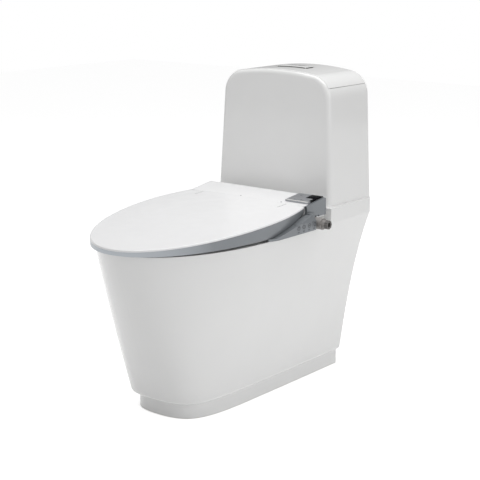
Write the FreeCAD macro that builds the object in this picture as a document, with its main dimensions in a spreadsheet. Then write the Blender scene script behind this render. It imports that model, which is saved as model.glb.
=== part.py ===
"""Two-piece smart toilet with a heated seat, in millimetres.

Frame: the centre of the floor waste outlet is the origin, +Z is up, the bowl's nose points to -Y,
the cistern stands at +Y, and +X is the side of the control arm.
"""

import FreeCAD, Part, Sketcher
import math
import os
import re
from FreeCAD import Rotation, Vector

doc = FreeCAD.newDocument("SmartToilet")
sheet = doc.addObject("Spreadsheet::Sheet", "Sizes")

SIZES = (
    # china pan, measured from the outlet centre and the floor
    ("rim_height", 388, "floor to the top of the rim"),
    ("deck_rise", 34, "rim up to the cistern's seat"),
    ("deck_height", "rim_height + deck_rise", "floor to the cistern's seat"),
    ("rim_reach", 406, "outlet centre to the rim's nose"),
    ("rim_half", 182.5, "half the rim's greatest width"),
    ("rim_bow", 297, "length of the rim's curved front"),
    ("rim_fullness", 0.575, "squareness of the rim's curved front, 0.552 is an ellipse"),
    ("foot_reach", 293, "outlet centre to the skirt's nose at its foot"),
    ("foot_half", 112.5, "half the skirt's width at its foot"),
    ("foot_bow", 200, "length of the skirt's curved front at its foot"),
    ("foot_fullness", 0.88, "squareness of the skirt's curved front at its foot"),
    ("foot_rear", 276, "outlet centre to the skirt's back at its foot"),
    ("foot_rear_half", 110, "half the skirt's width at the back of its foot"),
    ("back_reach", 303, "outlet centre to the cistern's back"),
    ("deck_half", 173.5, "half the width at the cistern's seat"),
    ("deck_front", 122, "outlet centre to the front of the cistern's seat"),
    ("plinth_height", 36, "floor to the skirt's lower edge"),
    ("foot_round", 8, "radius of the skirt's lower edge"),
    ("plinth_inset", 7.5, "recess of the plinth behind the skirt's sides"),
    ("plinth_setback", 15, "recess of the plinth behind the skirt's nose"),
    ("china", 11, "thickness of the fired walls"),
    ("rim_thickness", 20, "depth of the solid rim and deck"),
    ("bowl_ledge", 40, "rim's nose back to the bowl's mouth"),
    ("bowl_front", "rim_reach - bowl_ledge", "outlet centre to the front of the bowl's mouth"),
    ("bowl_back", 42, "outlet centre to the back of the bowl's mouth"),
    ("bowl_half", 120, "half the width of the bowl's mouth"),
    ("sump_floor", 112, "floor to the bottom of the bowl"),
    ("trap_bore", 25, "radius of the trapway"),
    ("trap_bend", 37, "radius of the trapway's two bends"),
    ("trap_crown", 172, "floor to where the outlet leg begins to curve"),
    ("trap_dip", 105, "floor to where the bowl leg begins to curve"),
    ("trap_wall", 9, "thickness of the trapway's wall"),
    ("inlet_bore", 27, "radius of the flush water's way down"),
    ("jet_bore", 17, "radius of the flush water's way forward"),
    ("jet_depth", 40, "rim down to the centre of the forward way"),
    ("jet_height", "rim_height - jet_depth", "floor to the centre of the forward way"),
    ("lug_spread", 75, "outlet centre to a floor screw, sideways"),
    ("lug_back", 120, "outlet centre to a floor screw, backwards"),
    ("lug_thickness", 16, "depth of a floor screw's lug"),
    ("screw_hole", 5, "radius of a floor screw's hole"),
    # cistern
    ("tank_setback", 12, "deck's front edge back to the cistern's front"),
    ("tank_front", "deck_front + tank_setback", "outlet centre to the cistern's front at its foot"),
    ("tank_rise", 307, "height of the cistern, from its seat to its crown"),
    ("tank_top", "deck_height + tank_rise", "floor to the middle of the cistern's crown"),
    ("tank_half", 167, "half the cistern's width at its foot"),
    ("tank_shoulder_half", 153.2, "half the cistern's width carried up to its crown"),
    ("tank_crown", 720, "radius of the crown across the width"),
    ("tank_corner", 56, "radius of the two upper corners"),
    ("tank_round", 11, "radius of the edge round the front"),
    ("tank_back_round", 5, "radius of the edge round the back"),
    ("tank_lean", 10.5, "how far the front leans back over its height"),
    ("tank_wall", 10, "thickness of the cistern's china"),
    ("tank_floor", 12, "thickness of the cistern's floor"),
    ("tank_lid_depth", 37, "crown down to the seam under the cistern's lid"),
    ("lid_seam", "tank_top - tank_lid_depth", "floor to the seam under the cistern's lid"),
    ("lid_setback", 16, "cistern's front back to its lid's front"),
    ("lid_front", "tank_front + lid_setback", "outlet centre to the front of the cistern's lid"),
    ("seam", 0.9, "width of the seam round the cistern's lid"),
    ("valve_place", 222, "outlet centre to the cistern's valves"),
    ("filler_place", 72, "sideways place of the fill valve"),
    ("tank_bolt_place", 104, "sideways place of the cistern's bolts"),
    # flush button
    ("button_half", 42, "half the width of the flush button pair"),
    ("button_front", 206, "outlet centre to the button's front edge"),
    ("button_back", 236, "outlet centre to the button's back edge"),
    ("button_proud", 1, "how far a flush button stands over the crown"),
    ("button_top", "tank_top + button_proud", "floor to the button's face"),
    ("button_gap", 1.4, "gap round the flush buttons"),
    ("button_travel", 6, "how far a flush button goes down"),
    # seat unit
    ("hinge_back", 16, "outlet centre to the hinge line"),
    ("hinge_rise", 42, "rim up to the hinge line"),
    ("hinge_height", "rim_height + hinge_rise", "floor to the hinge line"),
    ("pin_radius", 4, "radius of a hinge pin"),
    ("hinge_slack", 0.05, "running clearance on a hinge pin"),
    ("cover_overhang", 15, "how far the seat lid reaches past the rim's nose"),
    ("cover_reach", "rim_reach + cover_overhang", "outlet centre to the seat lid's nose"),
    ("cover_margin", 7.5, "how far the seat lid stands out past the rim at each side"),
    ("cover_half", "rim_half + cover_margin", "half the seat lid's greatest width"),
    ("cover_bow", 318, "length of the seat lid's curved front"),
    ("cover_fullness", 0.562, "squareness of the seat lid's curved front"),
    ("cover_rear_half", 169, "half the seat lid's width at its back edge"),
    ("cover_rear", 33, "outlet centre to the seat lid's back edge"),
    ("cover_drop", 2, "hinge line down to the top of the lid half way along"),
    ("cover_middle_height", "hinge_height - cover_drop", "floor to the top of the seat lid half way along"),
    ("cover_slope", 5, "slope of the seat lid's top half way along, in degrees"),
    ("dome", 5600, "radius of the seat lid's top"),
    ("cover_sheet", 3, "thickness of the seat lid"),
    ("cover_round", 2.6, "radius of the seat lid's upper edge"),
    ("cover_lip", 4, "depth of the seat lid's white edge"),
    ("band_sheet", 3, "thickness of the grey band"),
    ("band_gap", 2.5, "rim up to the band's lower edge at the nose"),
    ("band_foot", "rim_height + band_gap", "floor to the band's lower edge at the nose"),
    ("band_rise", 1.35, "slope of the band's lower edge, in degrees"),
    ("crease_start", 108, "outlet centre to where the band rises over the arm"),
    ("crease_angle", 11.2, "slope of the band over the arm, in degrees"),
    ("slit_place", 122, "sideways place of the lid's two relief slits"),
    ("slit_length", 34, "length of a relief slit"),
    ("slit_rear", 27, "outlet centre to the back of a relief slit"),
    ("slit_width", 1.6, "width of a relief slit"),
    ("seat_setback", 12, "seat lid's nose back to the seat's nose"),
    ("seat_reach", "cover_reach - seat_setback", "outlet centre to the seat's nose"),
    ("seat_margin", 15.4, "seat lid's side in to the seat's side"),
    ("seat_half", "cover_half - seat_margin", "half the seat's greatest width"),
    ("seat_rear_half", 158, "half the seat's width at its back"),
    ("seat_rear", 0, "outlet centre to the back of the seat's ring"),
    ("seat_gap", 3, "rim up to the underside of the seat and the tray"),
    ("seat_foot", "rim_height + seat_gap", "floor to the underside of the seat"),
    ("seat_under_lid", 4.4, "distance from the lid's top down to the seat's top"),
    ("seat_sheet", 2.5, "thickness of the seat's shells"),
    ("hole_lip", 16, "how far the seat covers the bowl's mouth at each side"),
    ("hole_half", "bowl_half - hole_lip", "half the width of the seat's hole"),
    ("hole_shelf", 22, "how far the seat covers the bowl's mouth at the front"),
    ("hole_front", "bowl_front - hole_shelf", "outlet centre to the front of the seat's hole"),
    ("hole_back", 84, "outlet centre to the back of the seat's hole"),
    ("tray_floor", "rim_height + seat_gap", "floor to the underside of the bidet tray"),
    ("tray_sheet", 4, "thickness of the bidet tray"),
    ("tray_front", 4, "outlet centre to the front of the bidet tray"),
    ("tray_half", 168, "half the width of the bidet tray"),
    ("housing_gap", 10, "deck's front edge forward to the housing"),
    ("housing_rear", "deck_front - housing_gap", "outlet centre to the back of the bidet housing"),
    ("housing_margin", 4, "how far the housing stands out past the tray"),
    ("housing_half", "tray_half + housing_margin", "half the width of the bidet housing"),
    ("housing_rise", 10, "hinge line up to the housing's front upper edge"),
    ("housing_front_top", "hinge_height + housing_rise", "floor to the housing's front upper edge"),
    ("housing_fall", 11.2, "rise of the housing from front to back"),
    ("housing_rear_top", "housing_front_top + housing_fall", "floor to the housing's rear upper edge"),
    ("housing_sheet", 2.5, "thickness of the housing's shell"),
    ("recess", 22.1, "radius of the housing's hollow front round the hinge line"),
    ("arm_gap", 4, "housing's side out to an arm's inner face"),
    ("arm_inside", "housing_half + arm_gap", "outlet centre line to the arm's inner face"),
    ("arm_width", 24, "width of an arm"),
    ("arm_half", "arm_inside + arm_width", "outlet centre line to the arm's outer face"),
    ("arm_tip", 126, "outlet centre to the arm's front tip"),
    ("arm_rear", 35, "outlet centre to the arm's back"),
    ("arm_lift", 0.5, "how far an arm's underside is above the seat's"),
    ("arm_foot", "seat_foot + arm_lift", "floor to the underside of the arm"),
    ("arm_depth", 21.5, "height of the arm's outer face"),
    ("arm_brow", "arm_foot + arm_depth", "floor to the upper edge of the arm's outer face"),
    ("key_radius", 5.5, "radius of an arm button"),
    ("key_first", -31, "place of the first arm button along the arm"),
    ("key_pitch", 19.5, "distance from one arm button to the next"),
    ("key_rise", 14.5, "arm's underside up to the arm buttons"),
    ("key_height", "arm_foot + key_rise", "floor to the arm buttons"),
    ("key_travel", 1.2, "how far an arm button goes in"),
    ("lamp_rise", 5, "arm's underside up to the pill-shaped lamps"),
    ("lamp_height", "arm_foot + lamp_rise", "floor to the pill-shaped lamps"),
    ("cheek_width", 6, "width of the grey cheek beside the display plate"),
    ("plate_outside", "housing_half - cheek_width", "centre line to the display plate's outer end"),
    ("plate_width", 64, "width of the display plate"),
    ("plate_inside", "plate_outside - plate_width", "centre line to the display plate's inner end"),
    ("plate_front", 50, "outlet centre to the display plate's front"),
    ("plate_thickness", 4.2, "thickness of the display plate at its front"),
    ("plate_taper", 1.4, "how much thinner the display plate is at its back"),
    ("knob_back", 54, "outlet centre to the filter knob's axis"),
    ("knob_rise", 11, "tray's underside up to the knob and the fittings"),
    ("knob_height", "tray_floor + knob_rise", "floor to the filter knob's axis"),
    ("knob_radius", 13, "radius of the filter knob's body"),
    ("knob_gap", 8, "housing's side out to the filter knob"),
    ("knob_inside", "housing_half + knob_gap", "centre line to the filter knob's inner end"),
    ("knob_length", 26, "length of the filter knob's body"),
    ("knob_shoulder", "knob_inside + knob_length", "centre line to the filter knob's shoulder"),
    ("grip_length", 16, "length of the filter knob's grip"),
    ("knob_end", "knob_shoulder + grip_length", "centre line to the filter knob's outer end"),
    ("wand_tilt", 7, "slope of the spray wand, in degrees"),
    ("wand_rise", 11.5, "tray's floor up to the wand's axis at wand_origin"),
    ("wand_height", "tray_floor + tray_sheet + wand_rise", "height of the wand's axis at wand_origin"),
    ("wand_origin", 60, "outlet centre to where wand_height is taken"),
    ("sleeve_radius", 7.5, "outer radius of the wand's sleeve"),
    ("wand_radius", 5.2, "radius of the spray wand"),
    ("wand_slack", 0.35, "clearance between wand, sleeve and guide"),
    ("sleeve_length", 60, "length of the wand's sleeve"),
    ("works_top", 37, "height of the water heater over the tray's floor"),
    ("dryer_across", 48, "centre line to the dryer"),
    ("dryer_setback", 29, "housing's back forward to the dryer's axis"),
    ("dryer_radius", 19, "outer radius of the dryer's drum"),
    ("duct_low", 7, "tray's floor up to the dryer's mouth"),
    ("duct_high", 21, "tray's floor up to the top of the dryer's mouth"),
    ("duct_half", 18, "half the width of the dryer's mouth"),
    ("duct_wall", 3, "thickness of the dryer's wall"),
    ("tower_drop", 70, "cistern lid's seam down to the top of the valve's cage"),
    ("valve_drop", 52, "cistern lid's seam down to the overflow and the riser"),
    ("float_height", 54, "height of the fill valve's float"),
    ("bracket_spread", 70, "centre line to a seat fixing bolt"),
    ("bracket_back", 72, "outlet centre to the seat fixing bolts"),
    ("bracket_sheet", 2.5, "thickness of the seat bracket"),
)

for row, (alias, value, meaning) in enumerate(SIZES, 1):
    sheet.set(f"A{row}", meaning)
    sheet.setAlias(f"B{row}", alias)
for row, (alias, value, meaning) in enumerate(SIZES, 1):
    sheet.set(f"B{row}", f"={value}")
doc.recompute()
ABOVE = sheet.tank_top + 100

pieces = []


# ---- small helpers ---------------------------------------------------------------------------

def cell(formula):
    """A formula in which each plain word is a cell of the sheet."""
    return re.sub(r"(?<![\w.])[a-z]\w*(?!\w*\()", r"Sizes.\g<0>", formula)


def bind(thing, **formulas):
    """Bind properties to sheet formulas; base_x stands for Placement.Base.x."""
    for name, formula in formulas.items():
        path = name.replace("base_", "Placement.Base.")
        thing.setExpression(path, cell(formula))
    return thing


def keep(thing, label):
    """Mark an object as a finished sub-part with the label that names its file."""
    thing.Label = label
    pieces.append(thing)
    return thing


def feature(name, shape):
    """A document object whose shape is worked out from the sheet's values."""
    thing = doc.addObject("Part::Feature", name)
    thing.Shape = shape
    return thing


def block(name, x, y, z):
    """A box between pairs of formulas along the three axes."""
    thing = doc.addObject("Part::Box", name)
    bind(thing, Length=f"({x[1]}) - ({x[0]})", Width=f"({y[1]}) - ({y[0]})")
    bind(thing, Height=f"({z[1]}) - ({z[0]})", base_x=x[0], base_y=y[0], base_z=z[0])
    return thing


def rod(name, axis, radius, centre, reach):
    """A cylinder along axis. centre holds the other two coordinates, reach its two ends."""
    thing = doc.addObject("Part::Cylinder", name)
    bind(thing, Radius=radius, Height=f"({reach[1]}) - ({reach[0]})")
    if axis == "X":
        thing.Placement.Rotation = Rotation(Vector(0, 1, 0), 90)
        bind(thing, base_x=reach[0], base_y=centre[0], base_z=centre[1])
    elif axis == "Y":
        thing.Placement.Rotation = Rotation(Vector(1, 0, 0), -90)
        bind(thing, base_x=centre[0], base_y=reach[0], base_z=centre[1])
    else:
        bind(thing, base_x=centre[0], base_y=centre[1], base_z=reach[0])
    return thing


def join(name, *things):
    thing = doc.addObject("Part::MultiFuse", name)
    thing.Shapes = list(things)
    return thing


def cut(name, base, *tools):
    thing = doc.addObject("Part::Cut", name)
    thing.Base = base
    thing.Tool = tools[0] if len(tools) == 1 else join(name + "Tools", *tools)
    return thing


def overlap(name, first, second):
    thing = doc.addObject("Part::Common", name)
    thing.Base = first
    thing.Tool = second
    return thing


def group(name, *things):
    """Several separate solids in one sub-part."""
    thing = doc.addObject("Part::Compound", name)
    thing.Links = list(things)
    return thing


def bezier(*points):
    curve = Part.BezierCurve()
    curve.setPoles([Vector(*p) for p in points])
    return curve.toShape()


def shield(height, half, reach, bow, fullness, rear_half, rear, corner):
    """A level outline: a curved front, sides that draw in to a straight back with round corners."""
    start = bow - reach
    end = rear - corner
    third = (end - start) / 3
    swell = (half - rear_half) * 2 / 3
    soft = 0.448 * corner
    right = (
        ((0, -reach), (half * fullness, -reach), (half, start - bow * fullness), (half, start)),
        ((half, start), (half, start + third), (rear_half + swell, end - third), (rear_half, end)),
        ((rear_half, end), (rear_half, rear - soft), (rear_half - soft, rear),
         (rear_half - corner, rear)),
    )
    edges = [bezier(*[(x, y, height) for x, y in curve]) for curve in right]
    edges.append(bezier((rear_half - corner, rear, height), (corner - rear_half, rear, height)))
    for curve in reversed(right):
        edges.append(bezier(*[(-x, y, height) for x, y in reversed(curve)]))
    return Part.Wire(edges)


def egg(height, half, front, back, fullness=0.6):
    """A level oval between front and back, both measured forward from the outlet's centre."""
    waist = (front + 2 * back) / 3
    reach = front - waist
    tail = waist - back
    quarters = (
        ((0, -front), (half * fullness, -front), (half, -waist - reach * fullness), (half, -waist)),
        ((half, -waist), (half, -waist + tail * fullness), (half * fullness, -back), (0, -back)),
    )
    edges = [bezier(*[(x, y, height) for x, y in curve]) for curve in quarters]
    for curve in reversed(quarters):
        edges.append(bezier(*[(-x, y, height) for x, y in reversed(curve)]))
    return Part.Wire(edges)


def prism(wire, low, high):
    """The upright solid over a level outline."""
    face = Part.Face(wire)
    face.translate(Vector(0, 0, low - wire.BoundBox.ZMin))
    return face.extrude(Vector(0, 0, high - low))


def slab(x, y, z):
    """A plain box shape between three pairs of numbers."""
    return Part.makeBox(x[1] - x[0], y[1] - y[0], z[1] - z[0], Vector(x[0], y[0], z[0]))


def side_profile(points, low, high):
    """The solid between two X values over a closed line of (y, z) points."""
    corners = [Vector(low, y, z) for y, z in points]
    wire = Part.makePolygon(corners + corners[:1])
    return Part.Face(wire).extrude(Vector(high - low, 0, 0))


def mirrored(shape):
    return shape.mirror(Vector(0, 0, 0), Vector(1, 0, 0))


def round_edges(shape, radius, chosen):
    """shape with the edges that chosen accepts rounded to radius."""
    edges = [edge for edge in shape.Edges if chosen(edge)]
    return shape.makeFillet(radius, edges)


def near(value, target, slack=0.05):
    return abs(value - target) < slack


# ---- china pan -------------------------------------------------------------------------------

def skirt_section(height, inset=0.0):
    """The pan's outline at one height, drawn in by inset."""
    rise = (height - sheet.plinth_height) / (sheet.rim_height - sheet.plinth_height)
    rise = max(0.0, min(1.0, rise))
    swell = (rise + rise ** 3) / 2
    drop = 1 - (1 - rise) ** 1.4

    def between(foot, rim, share=rise):
        return foot + (rim - foot) * share

    return shield(
        height,
        between(sheet.foot_half, sheet.rim_half) - inset,
        between(sheet.foot_reach, sheet.rim_reach) - inset,
        between(sheet.foot_bow, sheet.rim_bow) - inset / 2,
        between(sheet.foot_fullness, sheet.rim_fullness),
        between(sheet.foot_rear_half, sheet.deck_half, swell) - inset,
        between(sheet.foot_rear, sheet.back_reach, drop) - inset,
        14,
    )


def bowl_section(share, height, wall=0.0):
    """The bowl's oval; share is 0 at the sump and 1 at the mouth."""
    leg = 2 * sheet.trap_bend + 2 * sheet.trap_bend
    half = sheet.trap_bore + 2 + (sheet.bowl_half - sheet.trap_bore - 2) * share ** 0.72
    front = leg + sheet.trap_bore + 3 + (sheet.bowl_front - leg - sheet.trap_bore - 3) * share ** 0.8
    back = leg - sheet.trap_bore - 2 - (leg - sheet.trap_bore - 2 - sheet.bowl_back) * share ** 0.55
    return egg(height, half + wall, front + wall, back - wall)


def bowl_solid(wall):
    """The bowl's cavity, or with a wall the china round it."""
    depth = sheet.rim_height - sheet.sump_floor
    sections = []
    for share in (0.0, 0.14, 0.34, 0.6, 0.82, 1.0):
        height = sheet.sump_floor + depth * share
        if wall and share == 0.0:
            height -= wall
        if share == 1.0:
            height += 0.5 if not wall else -1
        sections.append(bowl_section(share, height, wall))
    return Part.makeLoft(sections, True, False)


def trapway(radius, extra):
    """The bent pipe from the bowl down to the outlet; extra lengthens its foot."""
    bend = sheet.trap_bend
    crown = sheet.trap_crown
    dip = sheet.trap_dip
    outlet = Vector(0, 0, -extra)
    leg_top = Vector(0, 0, crown)
    over = Part.Arc(leg_top, Vector(0, -bend, crown + bend), Vector(0, -2 * bend, crown))
    middle = (Vector(0, -2 * bend, crown), Vector(0, -2 * bend, dip))
    under = Part.Arc(middle[1], Vector(0, -3 * bend, dip - bend), Vector(0, -4 * bend, dip))
    mouth = (Vector(0, -4 * bend, dip), Vector(0, -4 * bend, sheet.sump_floor + 12))
    path = Part.Wire([
        Part.makeLine(outlet, leg_top), over.toShape(), Part.makeLine(*middle),
        under.toShape(), Part.makeLine(*mouth),
    ])
    profile = Part.Wire(Part.makeCircle(radius, outlet, Vector(0, 0, 1)))
    return path.makePipeShell([profile], True, True)


def make_pan():
    """The skirted pan: a thin skirt with the rim and deck, the basin, its trapway and channel."""
    wall = sheet.china
    rim = sheet.rim_height
    deck = sheet.deck_height
    foot = sheet.plinth_height
    span = rim - foot
    heel = sheet.foot_round
    heights = [foot + heel + (span - heel) * share for share in (0, 0.33, 0.67, 1)]
    skirt = Part.makeLoft([skirt_section(h) for h in heights], True, False)
    turns = [math.radians(angle) for angle in (0, 30, 60, 90)]
    heel_loft = Part.makeLoft(
        [skirt_section(foot + heel * (1 - math.cos(t)), heel * (1 - math.sin(t))) for t in turns],
        True, False,
    )
    cistern_seat = prism(skirt_section(rim), rim, deck).cut(
        slab((-400, 400), (-600, sheet.deck_front), (rim - 1, deck + 10))
    )
    body = skirt.fuse([heel_loft, cistern_seat])
    plinth = prism(
        shield(
            0, sheet.foot_half - sheet.plinth_inset, sheet.foot_reach - sheet.plinth_setback,
            sheet.foot_bow - 14, sheet.foot_fullness - 0.06,
            sheet.foot_rear_half - sheet.plinth_inset, sheet.foot_rear - 4, 12,
        ),
        0, foot + 10,
    )
    hollow = Part.makeLoft(
        [skirt_section(h, wall) for h in [foot + wall] + heights[1:3] + [rim - sheet.rim_thickness]],
        True, False,
    )
    plinth_hollow = prism(
        shield(
            0, sheet.foot_half - sheet.plinth_inset - wall,
            sheet.foot_reach - sheet.plinth_setback - wall,
            sheet.foot_bow - 14 - wall / 2, sheet.foot_fullness - 0.06,
            sheet.foot_rear_half - sheet.plinth_inset - wall, sheet.foot_rear - 4 - wall, 6,
        ),
        -1, foot + wall + 1,
    )
    seat_hollow = slab(
        (wall + 2 - sheet.deck_half, sheet.deck_half - wall - 2),
        (sheet.deck_front + wall, sheet.back_reach - wall - 2),
        (rim - sheet.rim_thickness - 1, deck - 17),
    )
    back_window = slab((-82, 82), (sheet.foot_rear - 40, sheet.back_reach + 5), (-1, rim - 68))
    hollow = hollow.fuse([plinth_hollow, seat_hollow, back_window])
    valve = sheet.valve_place
    jet = sheet.jet_height
    down = Part.makeCylinder(sheet.inlet_bore + 8, deck - 10 - jet + 26, Vector(0, valve, jet - 26))
    forward = Part.makeCylinder(
        sheet.jet_bore + 8, valve + sheet.bowl_back, Vector(0, -sheet.bowl_back, jet), Vector(0, 1, 0)
    )
    lugs = [
        slab(
            (side * sheet.lug_spread - 22, side * sheet.lug_spread + 22),
            (sheet.lug_back - 20, sheet.lug_back + 20), (0, sheet.lug_thickness),
        )
        for side in (-1, 1)
    ]
    stay = slab((-18, 18), (-sheet.foot_reach + 40, -sheet.foot_reach + 52), (0, rim - 138))
    filled = bowl_solid(wall).fuse(
        [trapway(sheet.trap_bore + sheet.trap_wall, 0), down, forward, stay] + lugs
    )
    pan = body.fuse(plinth).cut(hollow.cut(filled))
    pan = pan.cut(bowl_solid(0))
    pan = pan.cut(trapway(sheet.trap_bore, 2))
    water_down = Part.makeCylinder(sheet.inlet_bore, deck - jet + 20, Vector(0, valve, jet - 18))
    water_forward = Part.makeCylinder(
        sheet.jet_bore, valve + sheet.bowl_back + 20, Vector(0, -sheet.bowl_back - 20, jet),
        Vector(0, 1, 0),
    )
    nut_well = Part.makeCylinder(sheet.inlet_bore + 19, 20, Vector(0, valve, deck - 14))
    filler_hole = Part.makeCylinder(20, 60, Vector(-sheet.filler_place, valve, deck - 50))
    holes = [water_down, water_forward, nut_well, filler_hole]
    for side in (-1, 1):
        place = Vector(side * sheet.tank_bolt_place, valve, deck - 40)
        holes.append(Part.makeCylinder(5, 60, place))
        place = Vector(side * sheet.bracket_spread, sheet.bracket_back, rim - 60)
        holes.append(Part.makeCylinder(5, 80, place))
        place = Vector(side * sheet.lug_spread, sheet.lug_back, -2)
        holes.append(Part.makeCylinder(sheet.screw_hole, sheet.lug_thickness + 4, place))
    pan = pan.cut(holes)
    lining = bowl_solid(wall).fuse(stay).common(slab((-300, 300), (-500, 100), (-20, rim - sheet.rim_thickness)))
    pipe = trapway(sheet.trap_bore + sheet.trap_wall, 0).cut(lining)
    channel = down.fuse(forward).cut([lining, pipe]).common(
        slab((-300, 300), (-500, 400), (-20, rim - sheet.rim_thickness))
    )
    keep(feature("Basin", pan.common(lining)), "bowl_basin")
    keep(feature("Trapway", pan.common(pipe)), "trapway")
    keep(feature("FlushChannel", pan.common(channel)), "flush_channel")
    keep(feature("Pan", pan.cut([lining, pipe, channel])), "bowl_pan")


def make_outlet_seal():
    ring = cut(
        "OutletSeal",
        rod("SealOutside", "Z", "trap_bore + trap_wall + 9", ("0", "0"), ("0", "8")),
        rod("SealInside", "Z", "trap_bore + trap_wall + 0.2", ("0", "0"), ("0-1", "9")),
    )
    keep(ring, "outlet_seal")


# ---- cistern ---------------------------------------------------------------------------------

def plane_of(body, role):
    return next(item for item in body.Origin.OriginFeatures if item.Role == role)


def sketch_on(body, name, role, offset="0"):
    sketch = body.newObject("Sketcher::SketchObject", name)
    sketch.AttachmentSupport = [(plane_of(body, role), "")]
    sketch.MapMode = "FlatFace"
    sketch.setExpression("AttachmentOffset.Base.z", cell(offset))
    return sketch


def tie(sketch, name, constraint, formula):
    """Add a named sketch dimension and bind it to a sheet formula."""
    number = sketch.addConstraint(constraint)
    sketch.renameConstraint(number, name)
    sketch.setExpression(f"Constraints.{name}", cell(formula))


def rectangle(sketch, left, right, low, high):
    """A rectangle between four formulas, each measured from the sketch's axes."""
    corners = [Vector(-10, -10, 0), Vector(10, -10, 0), Vector(10, 10, 0), Vector(-10, 10, 0)]
    for number in range(4):
        sketch.addGeometry(Part.LineSegment(corners[number], corners[(number + 1) % 4]), False)
    for number in range(4):
        sketch.addConstraint(
            Sketcher.Constraint("Coincident", number, 2, (number + 1) % 4, 1)
        )
    sketch.addConstraint(Sketcher.Constraint("Horizontal", 0))
    sketch.addConstraint(Sketcher.Constraint("Horizontal", 2))
    sketch.addConstraint(Sketcher.Constraint("Vertical", 1))
    sketch.addConstraint(Sketcher.Constraint("Vertical", 3))
    tie(sketch, "left", Sketcher.Constraint("DistanceX", -1, 1, 0, 1, -10), left)
    tie(sketch, "right", Sketcher.Constraint("DistanceX", -1, 1, 2, 1, 10), right)
    tie(sketch, "low", Sketcher.Constraint("DistanceY", -1, 1, 0, 1, -10), low)
    tie(sketch, "high", Sketcher.Constraint("DistanceY", -1, 1, 2, 1, 10), high)


def circle(sketch, across, up, radius):
    """A circle whose centre and radius are formulas."""
    sketch.addGeometry(Part.Circle(Vector(5, 5, 0), Vector(0, 0, 1), 3), False)
    tie(sketch, "radius", Sketcher.Constraint("Radius", 0, 3), radius)
    tie(sketch, "across", Sketcher.Constraint("DistanceX", -1, 1, 0, 3, 5), across)
    tie(sketch, "up", Sketcher.Constraint("DistanceY", -1, 1, 0, 3, 5), up)


def pad(body, name, sketch, length, reverse=False, middle=False):
    thing = body.newObject("PartDesign::Pad", name)
    thing.Profile = sketch
    thing.Reversed = reverse
    thing.Midplane = middle
    thing.setExpression("Length", cell(length))
    return thing


def edge_names(shape, chosen):
    return [f"Edge{number}" for number, edge in enumerate(shape.Edges, 1) if chosen(edge)]


def fillet(body, name, base, radius, chosen):
    """Round the chosen edges of a body's last feature."""
    doc.recompute()
    thing = body.newObject("PartDesign::Fillet", name)
    thing.Base = (base, edge_names(base.Shape, chosen))
    thing.setExpression("Radius", cell(radius))
    return thing


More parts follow.
